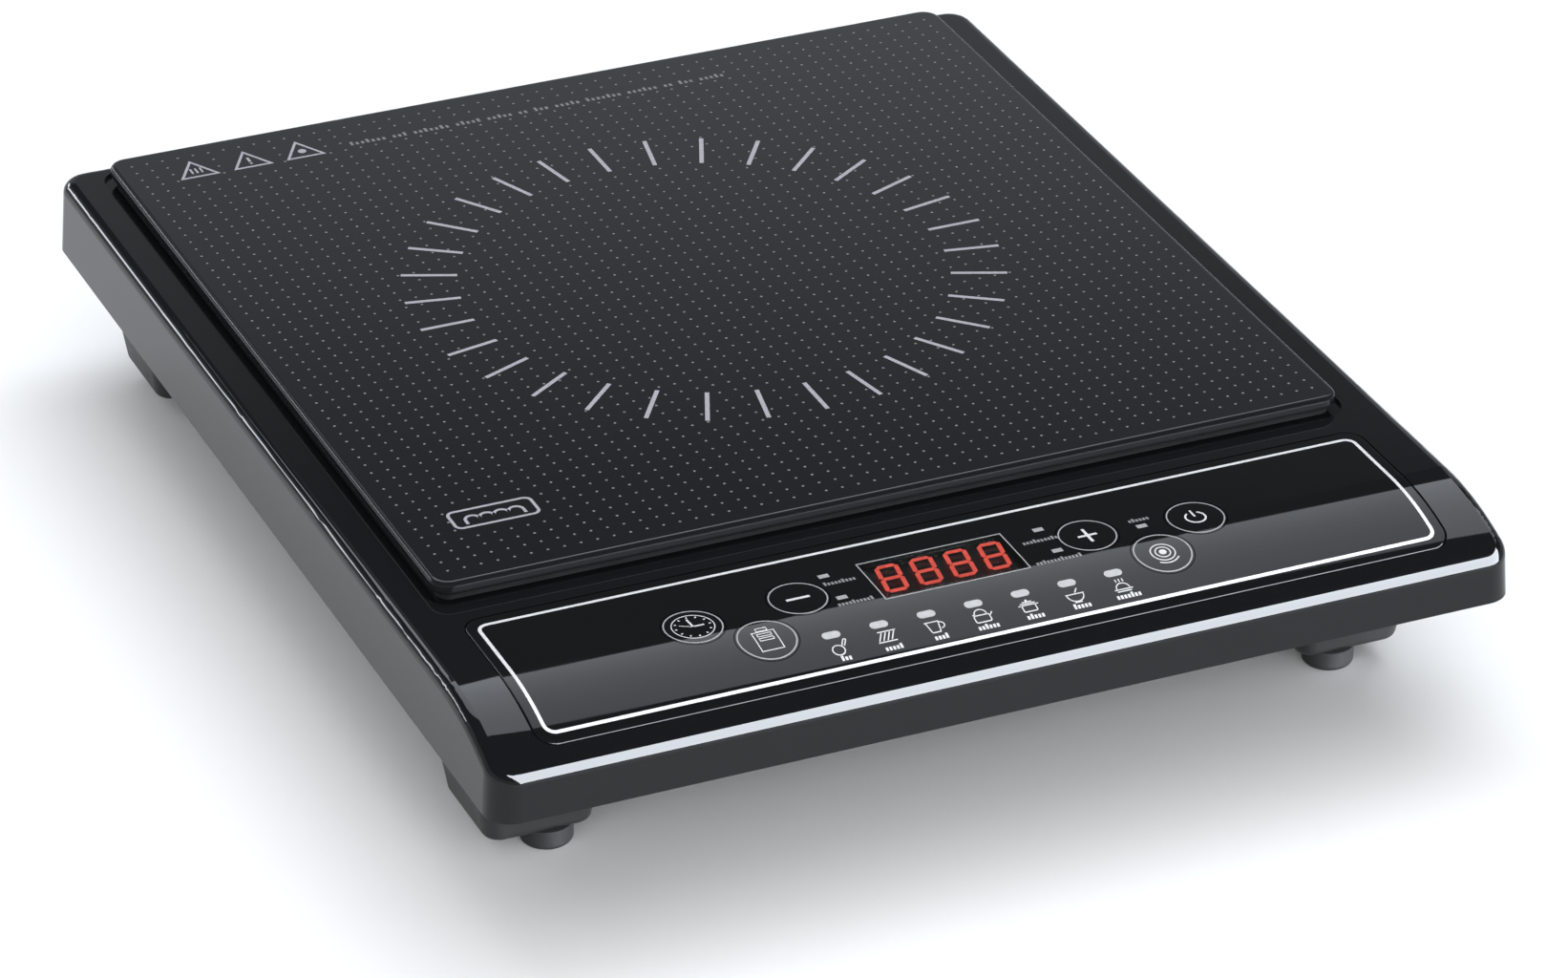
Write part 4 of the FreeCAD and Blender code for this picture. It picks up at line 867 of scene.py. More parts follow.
class Stencil:
    """Collects thin closed marks in plan, then lays them on a surface as one piece."""

    def __init__(self, proud: float = 0.04 * MM, sunk: float = 0.02 * MM) -> None:
        """Start with no marks.

        Args:
            proud: How far the ink stands above the surface.
            sunk: How far it reaches below.
        """
        self.mesh = bmesh.new()
        self.depth = proud + sunk
        self.low = -sunk
        self.middle = (proud - sunk) / 2

    def bar(self, x: float, y: float, length: float, width: float, turn: float = 0.0) -> None:
        """Add a straight bar about a centre, turned anticlockwise from +X.

        Args:
            x: Centre.
            y: Centre.
            length: Size along the bar.
            width: Size across it.
            turn: Angle of the bar from +X.
        """
        shape = Matrix.Rotation(turn, 4, "Z") @ Matrix.Diagonal((length, width, self.depth, 1.0))
        place = Matrix.Translation((x, y, self.middle)) @ shape
        bmesh.ops.create_cube(self.mesh, size=1.0, matrix=place)

    def stroke(self, start: Sequence[float], end: Sequence[float], width: float) -> None:
        """Add a straight bar from one point to another.

        Args:
            start: X and Y of one end.
            end: X and Y of the other.
            width: Width of the bar.
        """
        run_x = end[0] - start[0]
        run_y = end[1] - start[1]
        centre_x = (start[0] + end[0]) / 2
        centre_y = (start[1] + end[1]) / 2
        self.bar(centre_x, centre_y, math.hypot(run_x, run_y), width, math.atan2(run_y, run_x))

    def disc(self, x: float, y: float, radius: float, sides: int = 20) -> None:
        """Add a filled round.

        Args:
            x: Centre.
            y: Centre.
            radius: Radius.
            sides: Number of sides.
        """
        place = Matrix.Translation((x, y, self.middle))
        bmesh.ops.create_cone(
            self.mesh, cap_ends=True, cap_tris=False, segments=sides,
            radius1=radius, radius2=radius, depth=self.depth, matrix=place,
        )

    def arc(
        self, x: float, y: float, radius: float, width: float,
        start: float = 0.0, sweep: float = FULL_TURN, steps: int = 48,
    ) -> None:
        """Add a round line, whole or in part.

        Args:
            x: Centre.
            y: Centre.
            radius: Radius of the middle of the line.
            width: Width of the line.
            start: Angle of its start from +X.
            sweep: Angle from its start to its end.
            steps: Number of facets in the sweep.
        """
        section = Matrix.Rotation(math.pi / 2, 4, "X") @ Matrix.Diagonal((width, self.depth, 1.0, 1.0))
        place = (
            Matrix.Translation((x, y, self.middle))
            @ Matrix.Rotation(start, 4, "Z")
            @ Matrix.Translation((radius, 0.0, 0.0))
            @ section
        )
        made = bmesh.ops.create_grid(self.mesh, x_segments=1, y_segments=1, size=0.5, matrix=place)
        verts = made["verts"]
        edges = list({edge for vert in verts for edge in vert.link_edges})
        faces = list({face for vert in verts for face in vert.link_faces})
        whole = sweep >= FULL_TURN - 1e-6
        if whole:
            bmesh.ops.delete(self.mesh, geom=faces, context="FACES_ONLY")
            faces = []
        bmesh.ops.spin(
            self.mesh, geom=verts + edges + faces, cent=(x, y, 0.0), axis=(0.0, 0.0, 1.0),
            angle=sweep, steps=steps, use_merge=whole, use_duplicate=False,
        )

    def outline(self, face: bmesh.types.BMFace, line: float) -> None:
        """Turn a flat face at the marks' low level into a closed line along its edge.

        Args:
            face: The face, which is used up.
            line: Width of the line.
        """
        made = bmesh.ops.inset_region(
            self.mesh, faces=[face], thickness=line, use_even_offset=True, use_boundary=True)
        bmesh.ops.delete(self.mesh, geom=[face], context="FACES_ONLY")
        self._raise(made["faces"])

    def _raise(self, faces: Iterable[bmesh.types.BMFace]) -> None:
        """Give flat faces at the low level the ink's thickness.

        Args:
            faces: The faces.
        """
        raised = bmesh.ops.extrude_face_region(self.mesh, geom=list(faces))
        verts = [item for item in raised["geom"] if isinstance(item, bmesh.types.BMVert)]
        bmesh.ops.translate(self.mesh, verts=verts, vec=(0.0, 0.0, self.depth))

    def _rounded_face(
        self, x: float, y: float, width: float, length: float, corner: float, segments: int
    ) -> bmesh.types.BMFace:
        """Return a flat rounded rectangle at the marks' low level.

        Args:
            x: Centre.
            y: Centre.
            width: Size along X.
            length: Size along Y.
            corner: Radius of the corners.
            segments: Facets in one corner.

        Returns:
            The face.
        """
        place = Matrix.Translation((x, y, self.low)) @ Matrix.Diagonal((width, length, 1.0, 1.0))
        made = bmesh.ops.create_grid(self.mesh, x_segments=1, y_segments=1, size=0.5, matrix=place)
        verts = made["verts"]
        if corner > 0:
            rounded = bmesh.ops.bevel(
                self.mesh, geom=verts, offset=corner, offset_type="OFFSET", affect="VERTICES",
                segments=segments, profile=0.5, material=-1, clamp_overlap=True,
            )
            verts = rounded["verts"]
        return next(iter(verts[0].link_faces))

    def border(
        self, x: float, y: float, width: float, length: float, corner: float, line: float, segments: int = 8
    ) -> None:
        """Add a rounded rectangular line of the given outer size."""
        self.outline(self._rounded_face(x, y, width, length, corner, segments), line)

    def triangle(self, x: float, y: float, base: float, height: float, line: float) -> None:
        """Add a three-sided line with its point to the rear, about the middle of its height.

        Args:
            x: Centre.
            y: Centre.
            base: Level side.
            height: Size along Y.
            line: Width of the line.
        """
        # a three-sided circle of radius 1 is the root of 3 across and 1.5 high
        size = Matrix.Diagonal((base / math.sqrt(3.0), height / 1.5, 1.0, 1.0))
        place = Matrix.Translation((x, y - height / 6, self.low)) @ size
        made = bmesh.ops.create_circle(
            self.mesh, cap_ends=True, cap_tris=False, segments=3, radius=1.0, matrix=place)
        self.outline(next(iter(made["verts"][0].link_faces)), line)

    def pointed(self, x: float, y: float, length: float, width: float, turn: float) -> None:
        """Add a bar with both ends cut to a point, as in a digit's segment.

        Args:
            x: Centre.
            y: Centre.
            length: Size along the bar.
            width: Size across it.
            turn: Angle of the bar from +X.
        """
        before = set(self.mesh.edges)
        self.bar(x, y, length, width, turn)
        upright = [
            edge for edge in self.mesh.edges
            if edge not in before and abs(edge.verts[0].co.z - edge.verts[1].co.z) > self.depth / 2
        ]
        bmesh.ops.bevel(
            self.mesh, geom=upright, offset=width * 0.49, offset_type="OFFSET", affect="EDGES",
            segments=1, profile=0.5, material=-1, clamp_overlap=True,
        )

    def stamp(self, shape: bpy.types.Mesh, places: Iterable[tuple[float, float]]) -> None:
        """Add a copy of a small mark at each place.

        Args:
            shape: The small mark, about the origin. It is moved about.
            places: X and Y of each copy.
        """
        here = Vector((0.0, 0.0, 0.0))
        for x, y in places:
            there = Vector((x, y, 0.0))
            shape.transform(Matrix.Translation(there - here))
            self.mesh.from_mesh(shape)
            here = there

    def shear(self, slant: float, x: float, y: float) -> None:
        """Lean every mark so far to +X for each unit of Y about a point.

        Args:
            slant: The lean.
            x: Centre.
            y: Centre.
        """
        lean = Matrix.Identity(4)
        lean[0][1] = slant
        about = Matrix.Translation((x, y, 0.0)) @ lean @ Matrix.Translation((-x, -y, 0.0))
        bmesh.ops.transform(self.mesh, verts=self.mesh.verts, matrix=about)

    def caption(self, x: float, y: float, length: float, size: float, seed: int = 0) -> None:
        """Add a row of plain blocks in place of wording, centred on x.

        Args:
            x: Middle of the row.
            y: Middle of a tall block.
            length: Length of the row.
            size: Height of a tall block.
            seed: Shifts which blocks are tall.
        """
        pitch = size * 0.62
        width = pitch * 0.66
        short = size * 0.7
        count = max(1, int(length / pitch))
        start = x - (count - 1) * pitch / 2
        for index in range(count):
            rise = size if (index + seed) % 5 == 0 else short
            self.bar(start + index * pitch, y + (rise - size) / 2, width, rise)

    def lay(
        self, name: str, finish: Union[Ink, LitSegment], body: str,
        surface: Surface, folds: Iterable[float] = (),
    ) -> bpy.types.Object:
        """Press the marks onto a surface and make them one piece.

        Args:
            name: The piece's name.
            finish: Its ink or light.
            body: The body that it rides on.
            surface: The surface's height at a given Y.
            folds: The Y values at which the marks are divided first.

        Returns:
            The new piece.
        """
        low = min(vert.co.y for vert in self.mesh.verts)
        high = max(vert.co.y for vert in self.mesh.verts)
        for y in folds:
            if low < y < high:
                everything = list(self.mesh.verts) + list(self.mesh.edges) + list(self.mesh.faces)
                bmesh.ops.bisect_plane(
                    self.mesh, geom=everything, dist=0.001 * MM,
                    plane_co=(0.0, y, 0.0), plane_no=(0.0, 1.0, 0.0),
                )
        for vert in self.mesh.verts:
            vert.co.z += surface(vert.co.y)
        bmesh.ops.recalc_face_normals(self.mesh, faces=self.mesh.faces)
        shape = bpy.data.meshes.new(name)
        self.mesh.to_mesh(shape)
        self.mesh.free()
        shape.materials.append(finish.material)
        piece = bpy.data.objects.new(name, shape)
        bpy.context.scene.collection.objects.link(piece)
        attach(piece, body)
        log.info("made %s on %s with %d faces", name, body, len(shape.polygons))
        return piece


# ---------------------------------------------------------------- glass plate


@dataclass
class GlassPlate:
    """Ceramic glass plate on its gasket, with its printed cooking zone.

    Attributes:
        zone: Centre of the cooking zone.
        dash_outer: Outer radius of the ring of dashes.
        dash_length: Length of one dash.
        dash_width: Width of one dash.
        dash_count: Dashes in the ring.
        dot_pitch: Distance between dots.
        dot_radius: Radius of one dot.
        dot_margin: Distance from the edge of the glass to the first dots.
        book: The finishes.
        corner: Radius of the plate's corners.
        caution_y: Y of the middle of the triangles.
        caution_x: X of each triangle.
        caution_base: Level side of a triangle.
        caution_height: Height of a triangle.
        wording_y: Y of the row of blocks.
        wording_x: X of its ends.
        wording_size: Height of its tall blocks.
        badge: Centre of the coil sign.
        badge_width: Its size along X.
        badge_length: Its size along Y.
    """

    book: FinishBook
    zone: tuple[float, float] = (0.0, 34.5 * MM)
    dash_outer: float = 87.5 * MM
    dash_length: float = 16.3 * MM
    dash_width: float = 1.3 * MM
    dash_count: int = 32
    dot_pitch: float = 4.8 * MM
    dot_radius: float = 0.42 * MM
    dot_margin: float = 2.4 * MM
    corner: float = 5.5 * MM
    caution_y: float = 155.5 * MM
    caution_x: tuple[float, ...] = (-112.8 * MM, -96.1 * MM, -79.5 * MM)
    caution_base: float = 12.5 * MM
    caution_height: float = 11.0 * MM
    wording_y: float = 153.0 * MM
    wording_x: tuple[float, float] = (-65.0 * MM, 57.0 * MM)
    wording_size: float = 2.3 * MM
    badge: tuple[float, float] = (-107.0 * MM, -71.0 * MM)
    badge_width: float = 25.0 * MM
    badge_length: float = 10.0 * MM

    def build(self) -> None:
        """Dress the plate and its gasket, then print the plate."""
        self.book.dress("glass_plate", "glass_gasket")
        self._ring()
        self._cautions()
        self._wording()
        self._badge()
        self._dots()

    @cached_property
    def low(self) -> Vector:
        """The plate's lowest corner."""
        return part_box("glass_plate")[0]

    @cached_property
    def high(self) -> Vector:
        """The plate's highest corner."""
        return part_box("glass_plate")[1]

    def _face(self, y: float) -> float:
        """Return the height of the glass, the same at every y."""
        return self.high.z

    def _lay(self, stencil: Stencil, name: str, finish: Ink) -> None:
        """Print marks on the glass."""
        stencil.lay(name, finish, BASE, self._face)

    def _ring(self) -> None:
        """Print the ring of dashes round the cooking zone."""
        stencil = Stencil()
        middle = self.dash_outer - self.dash_length / 2
        for index in range(self.dash_count):
            angle = FULL_TURN * index / self.dash_count
            x = self.zone[0] + middle * math.cos(angle)
            y = self.zone[1] + middle * math.sin(angle)
            stencil.bar(x, y, self.dash_length, self.dash_width, angle)
        self._lay(stencil, "glass_zone_dashes", self.book.ring_ink)

    def _cautions(self) -> None:
        """Print three plain triangles with bars and a spot in them."""
        stencil = Stencil()
        line = 0.8 * MM
        for x in self.caution_x:
            stencil.triangle(x, self.caution_y, self.caution_base, self.caution_height, line)
        base_y = self.caution_y - self.caution_height * 0.12
        left, middle, right = self.caution_x
        for step in (-1, 0, 1):
            stencil.bar(left + step * 1.5 * MM, base_y, 0.6 * MM, 3.2 * MM)
        stencil.bar(middle, base_y + 0.8 * MM, 0.8 * MM, 2.8 * MM)
        stencil.disc(middle, base_y - 1.7 * MM, 0.45 * MM)
        stencil.disc(right, base_y, 1.3 * MM)
        self._lay(stencil, "glass_caution_triangles", self.book.ring_ink)

    def _wording(self) -> None:
        """Print a line of plain blocks where a line of wording stands."""
        stencil = Stencil()
        words = (7, 3, 7, 5, 5, 2, 3, 5, 7, 6, 2, 3, 5)
        rise = (1.0, 0.68, 0.68, 1.0, 0.68, 0.68, 0.68)
        letters = sum(words) + len(words) - 1
        pitch = (self.wording_x[1] - self.wording_x[0]) / letters
        letter = 0
        for word in words:
            for _ in range(word):
                tall = self.wording_size * rise[letter % len(rise)]
                x = self.wording_x[0] + (letter + 0.5) * pitch
                y = self.wording_y + (tall - self.wording_size) / 2
                stencil.bar(x, y, pitch * 0.55, tall)
                letter += 1
            letter += 1
        self._lay(stencil, "glass_wording_blocks", self.book.dot_ink)

    def _badge(self) -> None:
        """Print a plain coil sign in the front left corner."""
        stencil = Stencil()
        x, y = self.badge
        line = 0.9 * MM
        stencil.border(x, y, self.badge_width, self.badge_length, 2.4 * MM, line)
        loop = 2.1 * MM
        for step in range(-1, 3):
            stencil.arc(x + (step - 0.5) * 2 * loop, y - 1.0 * MM, loop, line, 0.0, math.pi, 16)
        for side in (-1, 1):
            stencil.bar(x + side * 4 * loop, y - 2.0 * MM, line, 2.0 * MM)
        self._lay(stencil, "glass_corner_badge", self.book.ring_ink)

    def _dots(self) -> None:
        """Print the field of small dots over the whole plate."""
        shape = bpy.data.meshes.new("dot")
        dot = Stencil()
        dot.disc(0.0, 0.0, self.dot_radius, 6)
        dot.mesh.to_mesh(shape)
        dot.mesh.free()
        stencil = Stencil()
        stencil.stamp(shape, self._dot_places())
        bpy.data.meshes.remove(shape)
        self._lay(stencil, "glass_dots", self.book.dot_ink)

    def _dot_places(self) -> list[tuple[float, float]]:
        """Return the centre of every dot that meets no other mark.

        Returns:
            X and Y of each dot.
        """
        places = []
        half_x = int((self.high.x - self.dot_margin) / self.dot_pitch)
        middle_y = (self.low.y + self.high.y) / 2
        half_y = int((self.high.y - self.dot_margin - middle_y) / self.dot_pitch)
        for column in range(-half_x, half_x + 1):
            for line in range(-half_y, half_y + 1):
                x = column * self.dot_pitch
                y = middle_y + line * self.dot_pitch
                if self._inside_corners(x, y) and not self._on_mark(x, y):
                    places.append((x, y))
        return places

    def _inside_corners(self, x: float, y: float) -> bool:
        """Return whether a point keeps clear of the plate's rounded corners.

        Args:
            x: The point.
            y: The point.

        Returns:
            True when it does.
        """
        past_x = max(0.0, abs(x) - (self.high.x - self.corner))
        middle_y = (self.low.y + self.high.y) / 2
        past_y = max(0.0, abs(y - middle_y) - (self.high.y - middle_y - self.corner))
        return math.hypot(past_x, past_y) < self.corner - self.dot_margin

    def _on_mark(self, x: float, y: float) -> bool:
        """Return whether a point is on a dash, a caution, the wording or the badge.

        Args:
            x: The point.
            y: The point.

        Returns:
            True when it is.
        """
        away = math.hypot(x - self.zone[0], y - self.zone[1])
        if abs(away - self.dash_outer + self.dash_length / 2) < self.dash_length / 2 + self.dot_radius:
            step = FULL_TURN / self.dash_count
            angle = math.atan2(y - self.zone[1], x - self.zone[0]) % step
            if min(angle, step - angle) * away < self.dash_width / 2 + self.dot_radius:
                return True
        if any(abs(x - place) < self.caution_base / 2 for place in self.caution_x):
            if abs(y - self.caution_y) < self.caution_height / 2 + self.dot_radius:
                return True
        if self.wording_x[0] < x < self.wording_x[1] and abs(y - self.wording_y) < self.wording_size:
            return True
        aside = abs(x - self.badge[0]) < self.badge_width / 2 + self.dot_radius
        return aside and abs(y - self.badge[1]) < self.badge_length / 2 + self.dot_radius


# ---------------------------------------------------------------- control panel


@dataclass
class ControlPanel:
    """Gloss panel: silver border, lamps, captions and programme symbols.

    Attributes:
        top: The face that the panel follows.
        cluster: X of the middle of the keys and display.
        border_width: Width of the silver border.
        border_rows: Rows of its front and rear edges.
        line: Width of the border's line.
        book: The finishes.
        border_corner: Radius of the border's corners.
        pen: Width of the lines of a symbol.
        pill_pitch: Distance from programme lamp to programme lamp.
        symbol_row: Row of the symbols.
        symbol_shift: How far they stand to +X of their lamps.
        label_row: Row of the captions in front of them.
        label_size: Height of a tall block.
        captions: X, row and length of each caption beside a lamp.
    """

    book: FinishBook
    top: TopFace
    cluster: float = -3.4 * MM
    border_width: float = 261.4 * MM
    border_rows: tuple[float, float] = (11.0 * MM, 62.1 * MM)
    border_corner: float = 3.4 * MM
    line: float = 1.0 * MM
    pen: float = 0.32 * MM
    pill_pitch: float = 13.8 * MM
    symbol_row: float = 18.3 * MM
    symbol_shift: float = 0.2 * MM
    label_row: float = 14.5 * MM
    label_size: float = 1.7 * MM
    captions: tuple[tuple[float, float, float], ...] = (
        (-32.4 * MM, 45.7 * MM, 10.5 * MM),
        (-32.6 * MM, 34.6 * MM, 11.4 * MM),
        (26.4 * MM, 44.5 * MM, 11.3 * MM),
        (26.8 * MM, 33.5 * MM, 14.5 * MM),
        (55.8 * MM, 44.1 * MM, 7.1 * MM),
    )

    def build(self) -> None:
        """Dress the panel's nodes and print its marks."""
        self.book.dress("panel_overlay", "indicator_lenses", "display_window")
        self._border()
        self._symbols()
        self._captions()

    def _lay(self, stencil: Stencil, name: str, finish: Ink) -> None:
        """Print marks on the panel."""
        stencil.lay(name, finish, BASE, self.top.height, self.top.folds())

    def _border(self) -> None:
        """Print the silver line round the panel."""
        stencil = Stencil()
        near, far = self.border_rows
        y = self.top.row((near + far) / 2)
        stencil.border(0.0, y, self.border_width, far - near, self.border_corner, self.line)
        self._lay(stencil, "panel_silver_border", self.book.silver_ink)

    def _captions(self) -> None:
        """Print rows of plain blocks where the lamps and programmes have wording."""
        stencil = Stencil()
        for seed, (x, row, length) in enumerate(self.captions):
            stencil.caption(x, self.top.row(row), length, self.label_size, seed)
        self._lay(stencil, "panel_lamp_captions", self.book.caption_ink)
        stencil = Stencil()
        lengths = (4.0, 5.8, 5.0, 7.2, 5.3, 6.3, 7.4)
        for index, length in enumerate(lengths):
            x = self._pill_x(index) + 0.6 * MM
            stencil.caption(x, self.top.row(self.label_row), length * MM, self.label_size, index)
        self._lay(stencil, "panel_programme_captions", self.book.white_ink)

    def _pill_x(self, index: int) -> float:
        """Return X of a programme lamp."""
        return self.cluster + (index - 3) * self.pill_pitch

    def _symbols(self) -> None:
        """Print one plain kitchen symbol under each programme lamp."""
        stencil = Stencil()
        drawings = (self._pan, self._grill, self._mug, self._kettle, self._pot, self._bowl, self._steamer)
        for index, draw in enumerate(drawings):
            x = self._pill_x(index) + self.symbol_shift
            draw(stencil, x, self.top.row(self.symbol_row))
        self._lay(stencil, "panel_programme_symbols", self.book.white_ink)

    def _strokes(self, stencil: Stencil, x: float, y: float, lines: Iterable[Sequence[float]]) -> None:
        """Draw lines given as start and end offsets in millimetres.

        Args:
            stencil: The marks to add to.
            x: Centre.
            y: Centre.
            lines: Start X, start Y, end X and end Y of each line.
        """
        for start_x, start_y, end_x, end_y in lines:
            start = (x + start_x * MM, y + start_y * MM)
            end = (x + end_x * MM, y + end_y * MM)
            stencil.stroke(start, end, self.pen)

    def _pan(self, stencil: Stencil, x: float, y: float) -> None:
        """Draw a frying pan with its handle to the rear right."""
        stencil.arc(x - 0.5 * MM, y - 0.9 * MM, 1.7 * MM, self.pen)
        self._strokes(stencil, x, y, ((0.9, 0.4, 2.1, 2.5), (1.6, 0.2, 2.8, 2.2), (2.1, 2.6, 2.9, 2.3)))

    def _grill(self, stencil: Stencil, x: float, y: float) -> None:
        """Draw a grate of slanted bars on two rails.

        Args:
            stencil: The marks to add to.
            x: Centre.
            y: Centre.
        """
        bars = [(step - 0.8, -1.2, step + 0.8, 1.6) for step in (-1.8, -0.6, 0.6, 1.8)]
        self._strokes(stencil, x, y, bars)
        self._strokes(stencil, x, y, ((-3.0, -1.6, 2.4, -1.6), (-2.0, 2.0, 3.2, 2.0)))

    def _mug(self, stencil: Stencil, x: float, y: float) -> None:
        """Draw a jug with a handle."""
        self._strokes(stencil, x, y, (
            (-2.4, 1.6, 1.8, 1.6), (-2.0, 1.4, -1.4, -1.9), (1.6, 1.4, 1.1, -1.9), (-1.4, -2.1, 1.1, -2.1)))
        stencil.arc(x + 1.8 * MM, y + 0.1 * MM, 1.1 * MM, self.pen, -math.pi / 2, math.pi, 14)

    def _kettle(self, stencil: Stencil, x: float, y: float) -> None:
        """Draw a kettle with a hoop handle.

        Args:
            stencil: The marks to add to.
            x: Centre.
            y: Centre.
        """
        stencil.border(x, y - 0.9 * MM, 4.8 * MM, 2.8 * MM, 0.7 * MM, self.pen, 4)
        stencil.arc(x, y + 0.7 * MM, 1.7 * MM, self.pen, 0.0, math.pi, 16)
        self._strokes(stencil, x, y, ((2.5, -0.2, 3.3, 0.8), (-2.4, 0.7, -1.9, 0.7)))

    def _pot(self, stencil: Stencil, x: float, y: float) -> None:
        """Draw a lidded pot with two handles.

        Args:
            stencil: The marks to add to.
            x: Centre.
            y: Centre.
        """
        stencil.border(x, y - 0.9 * MM, 4.2 * MM, 2.6 * MM, 0.5 * MM, self.pen, 4)
        self._strokes(stencil, x, y, (
            (-2.9, 0.2, -2.2, 0.2), (2.2, 0.2, 2.9, 0.2), (-2.2, 0.8, 2.2, 0.8), (-1.4, 1.4, 1.4, 1.4)))
        stencil.disc(x, y + 1.9 * MM, 0.35 * MM, 10)

    def _bowl(self, stencil: Stencil, x: float, y: float) -> None:
        """Draw a bowl with a spoon in it."""
        stencil.arc(x, y + 0.2 * MM, 2.4 * MM, self.pen, math.pi, math.pi, 20)
        self._strokes(stencil, x, y, (
            (-2.7, 0.45, 2.7, 0.45), (0.3, 0.9, 1.4, 2.4), (-1.1, -2.5, 1.1, -2.5)))

    def _steamer(self, stencil: Stencil, x: float, y: float) -> None:
        """Draw a steaming tray with a domed lid.

        Args:
            stencil: The marks to add to.
            x: Centre.
            y: Centre.
        """
        stencil.arc(x, y - 1.2 * MM, 1.9 * MM, self.pen, 0.0, math.pi, 18)
        self._strokes(stencil, x, y, (
            (-2.7, -1.5, 2.7, -1.5), (-2.1, -2.2, 2.1, -2.2),
            (-1.0, 1.2, -1.0, 2.3), (0.0, 1.2, 0.0, 2.3), (1.0, 1.2, 1.0, 2.3)))


@dataclass
class Display:
    """Four red digits behind the smoked window, with a silver line round it.

    Attributes:
        book: The finishes.
        top: The face that the window follows.
        window_line: Width of the line round the window.
        below: How far the digits lie below the face.
        digit_width: Width of a digit.
        digit_height: Height of a digit.
        digit_pitch: Distance from digit to digit.
        digit_count: How many digits.
        slant: Lean of the digits to +X for each unit of Y.
        segment: Width of a segment.
        joint_gap: Gap between segments.
    """

    book: FinishBook
    top: TopFace
    window_line: float = 0.35 * MM
    below: float = 0.20 * MM
    digit_width: float = 6.9 * MM
    digit_height: float = 13.8 * MM
    digit_pitch: float = 10.1 * MM
    digit_count: int = 4
    slant: float = 0.15
    segment: float = 1.25 * MM
    joint_gap: float = 0.16 * MM

    def build(self) -> None:
        """Dress the display block, light the digits and print the window's line."""
        self.book.dress("display_module")
        low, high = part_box("display_window")
        centre = ((low.x + high.x) / 2, (low.y + high.y) / 2)
        self._line(low, high, centre)
        self._digits(centre)

    def _line(self, low: Vector, high: Vector, centre: tuple[float, float]) -> None:
        """Print the silver line round the window.

        Args:
            low: The window's lowest corner.
            high: The window's highest corner.
            centre: Centre in plan.
        """
        stencil = Stencil()
        width = high.x - low.x + self.window_line
        length = high.y - low.y + self.window_line
        stencil.border(centre[0], centre[1], width, length, 0.0, self.window_line)
        stencil.lay(
            "display_silver_line", self.book.ring_silver_ink, BASE, self.top.height, self.top.folds())

    def _digits(self, centre: tuple[float, float]) -> None:
        """Make the lit segments of every digit.

        Args:
            centre: Centre in plan.
        """
        stencil = Stencil(proud=0.05 * MM, sunk=0.15 * MM)
        for index in range(self.digit_count):
            x = centre[0] + (index - (self.digit_count - 1) / 2) * self.digit_pitch
            self._digit(stencil, x, centre[1])
        stencil.shear(self.slant, centre[0], centre[1])
        stencil.lay(
            "display_lit_digits", LitSegment("digit_red_light"), BASE,
            lambda y: self.top.height(y) - self.below, self.top.folds())

    def _digit(self, stencil: Stencil, x: float, y: float) -> None:
        """Add the seven segments of one digit.

        Args:
            stencil: The marks to add to.
            x: Centre.
            y: Centre.
        """
        across = self.digit_width - self.segment
        upright = (self.digit_height - self.segment) / 2
        short = across - 2 * self.joint_gap
        tall = upright - 2 * self.joint_gap
        for level in (-1, 0, 1):
            stencil.pointed(x, y + level * upright, short, self.segment, 0.0)
        for side in (-1, 1):
            for half in (-0.5, 0.5):
                stencil.pointed(x + side * across / 2, y + half * upright, tall, self.segment, math.pi / 2)


class KeySign(Enum):
    """The symbol on a push key."""

    TIMER = "timer"
    MENU = "menu"
    MINUS = "minus"
    PLUS = "plus"
    HEAT = "heat"
    POWER = "power"


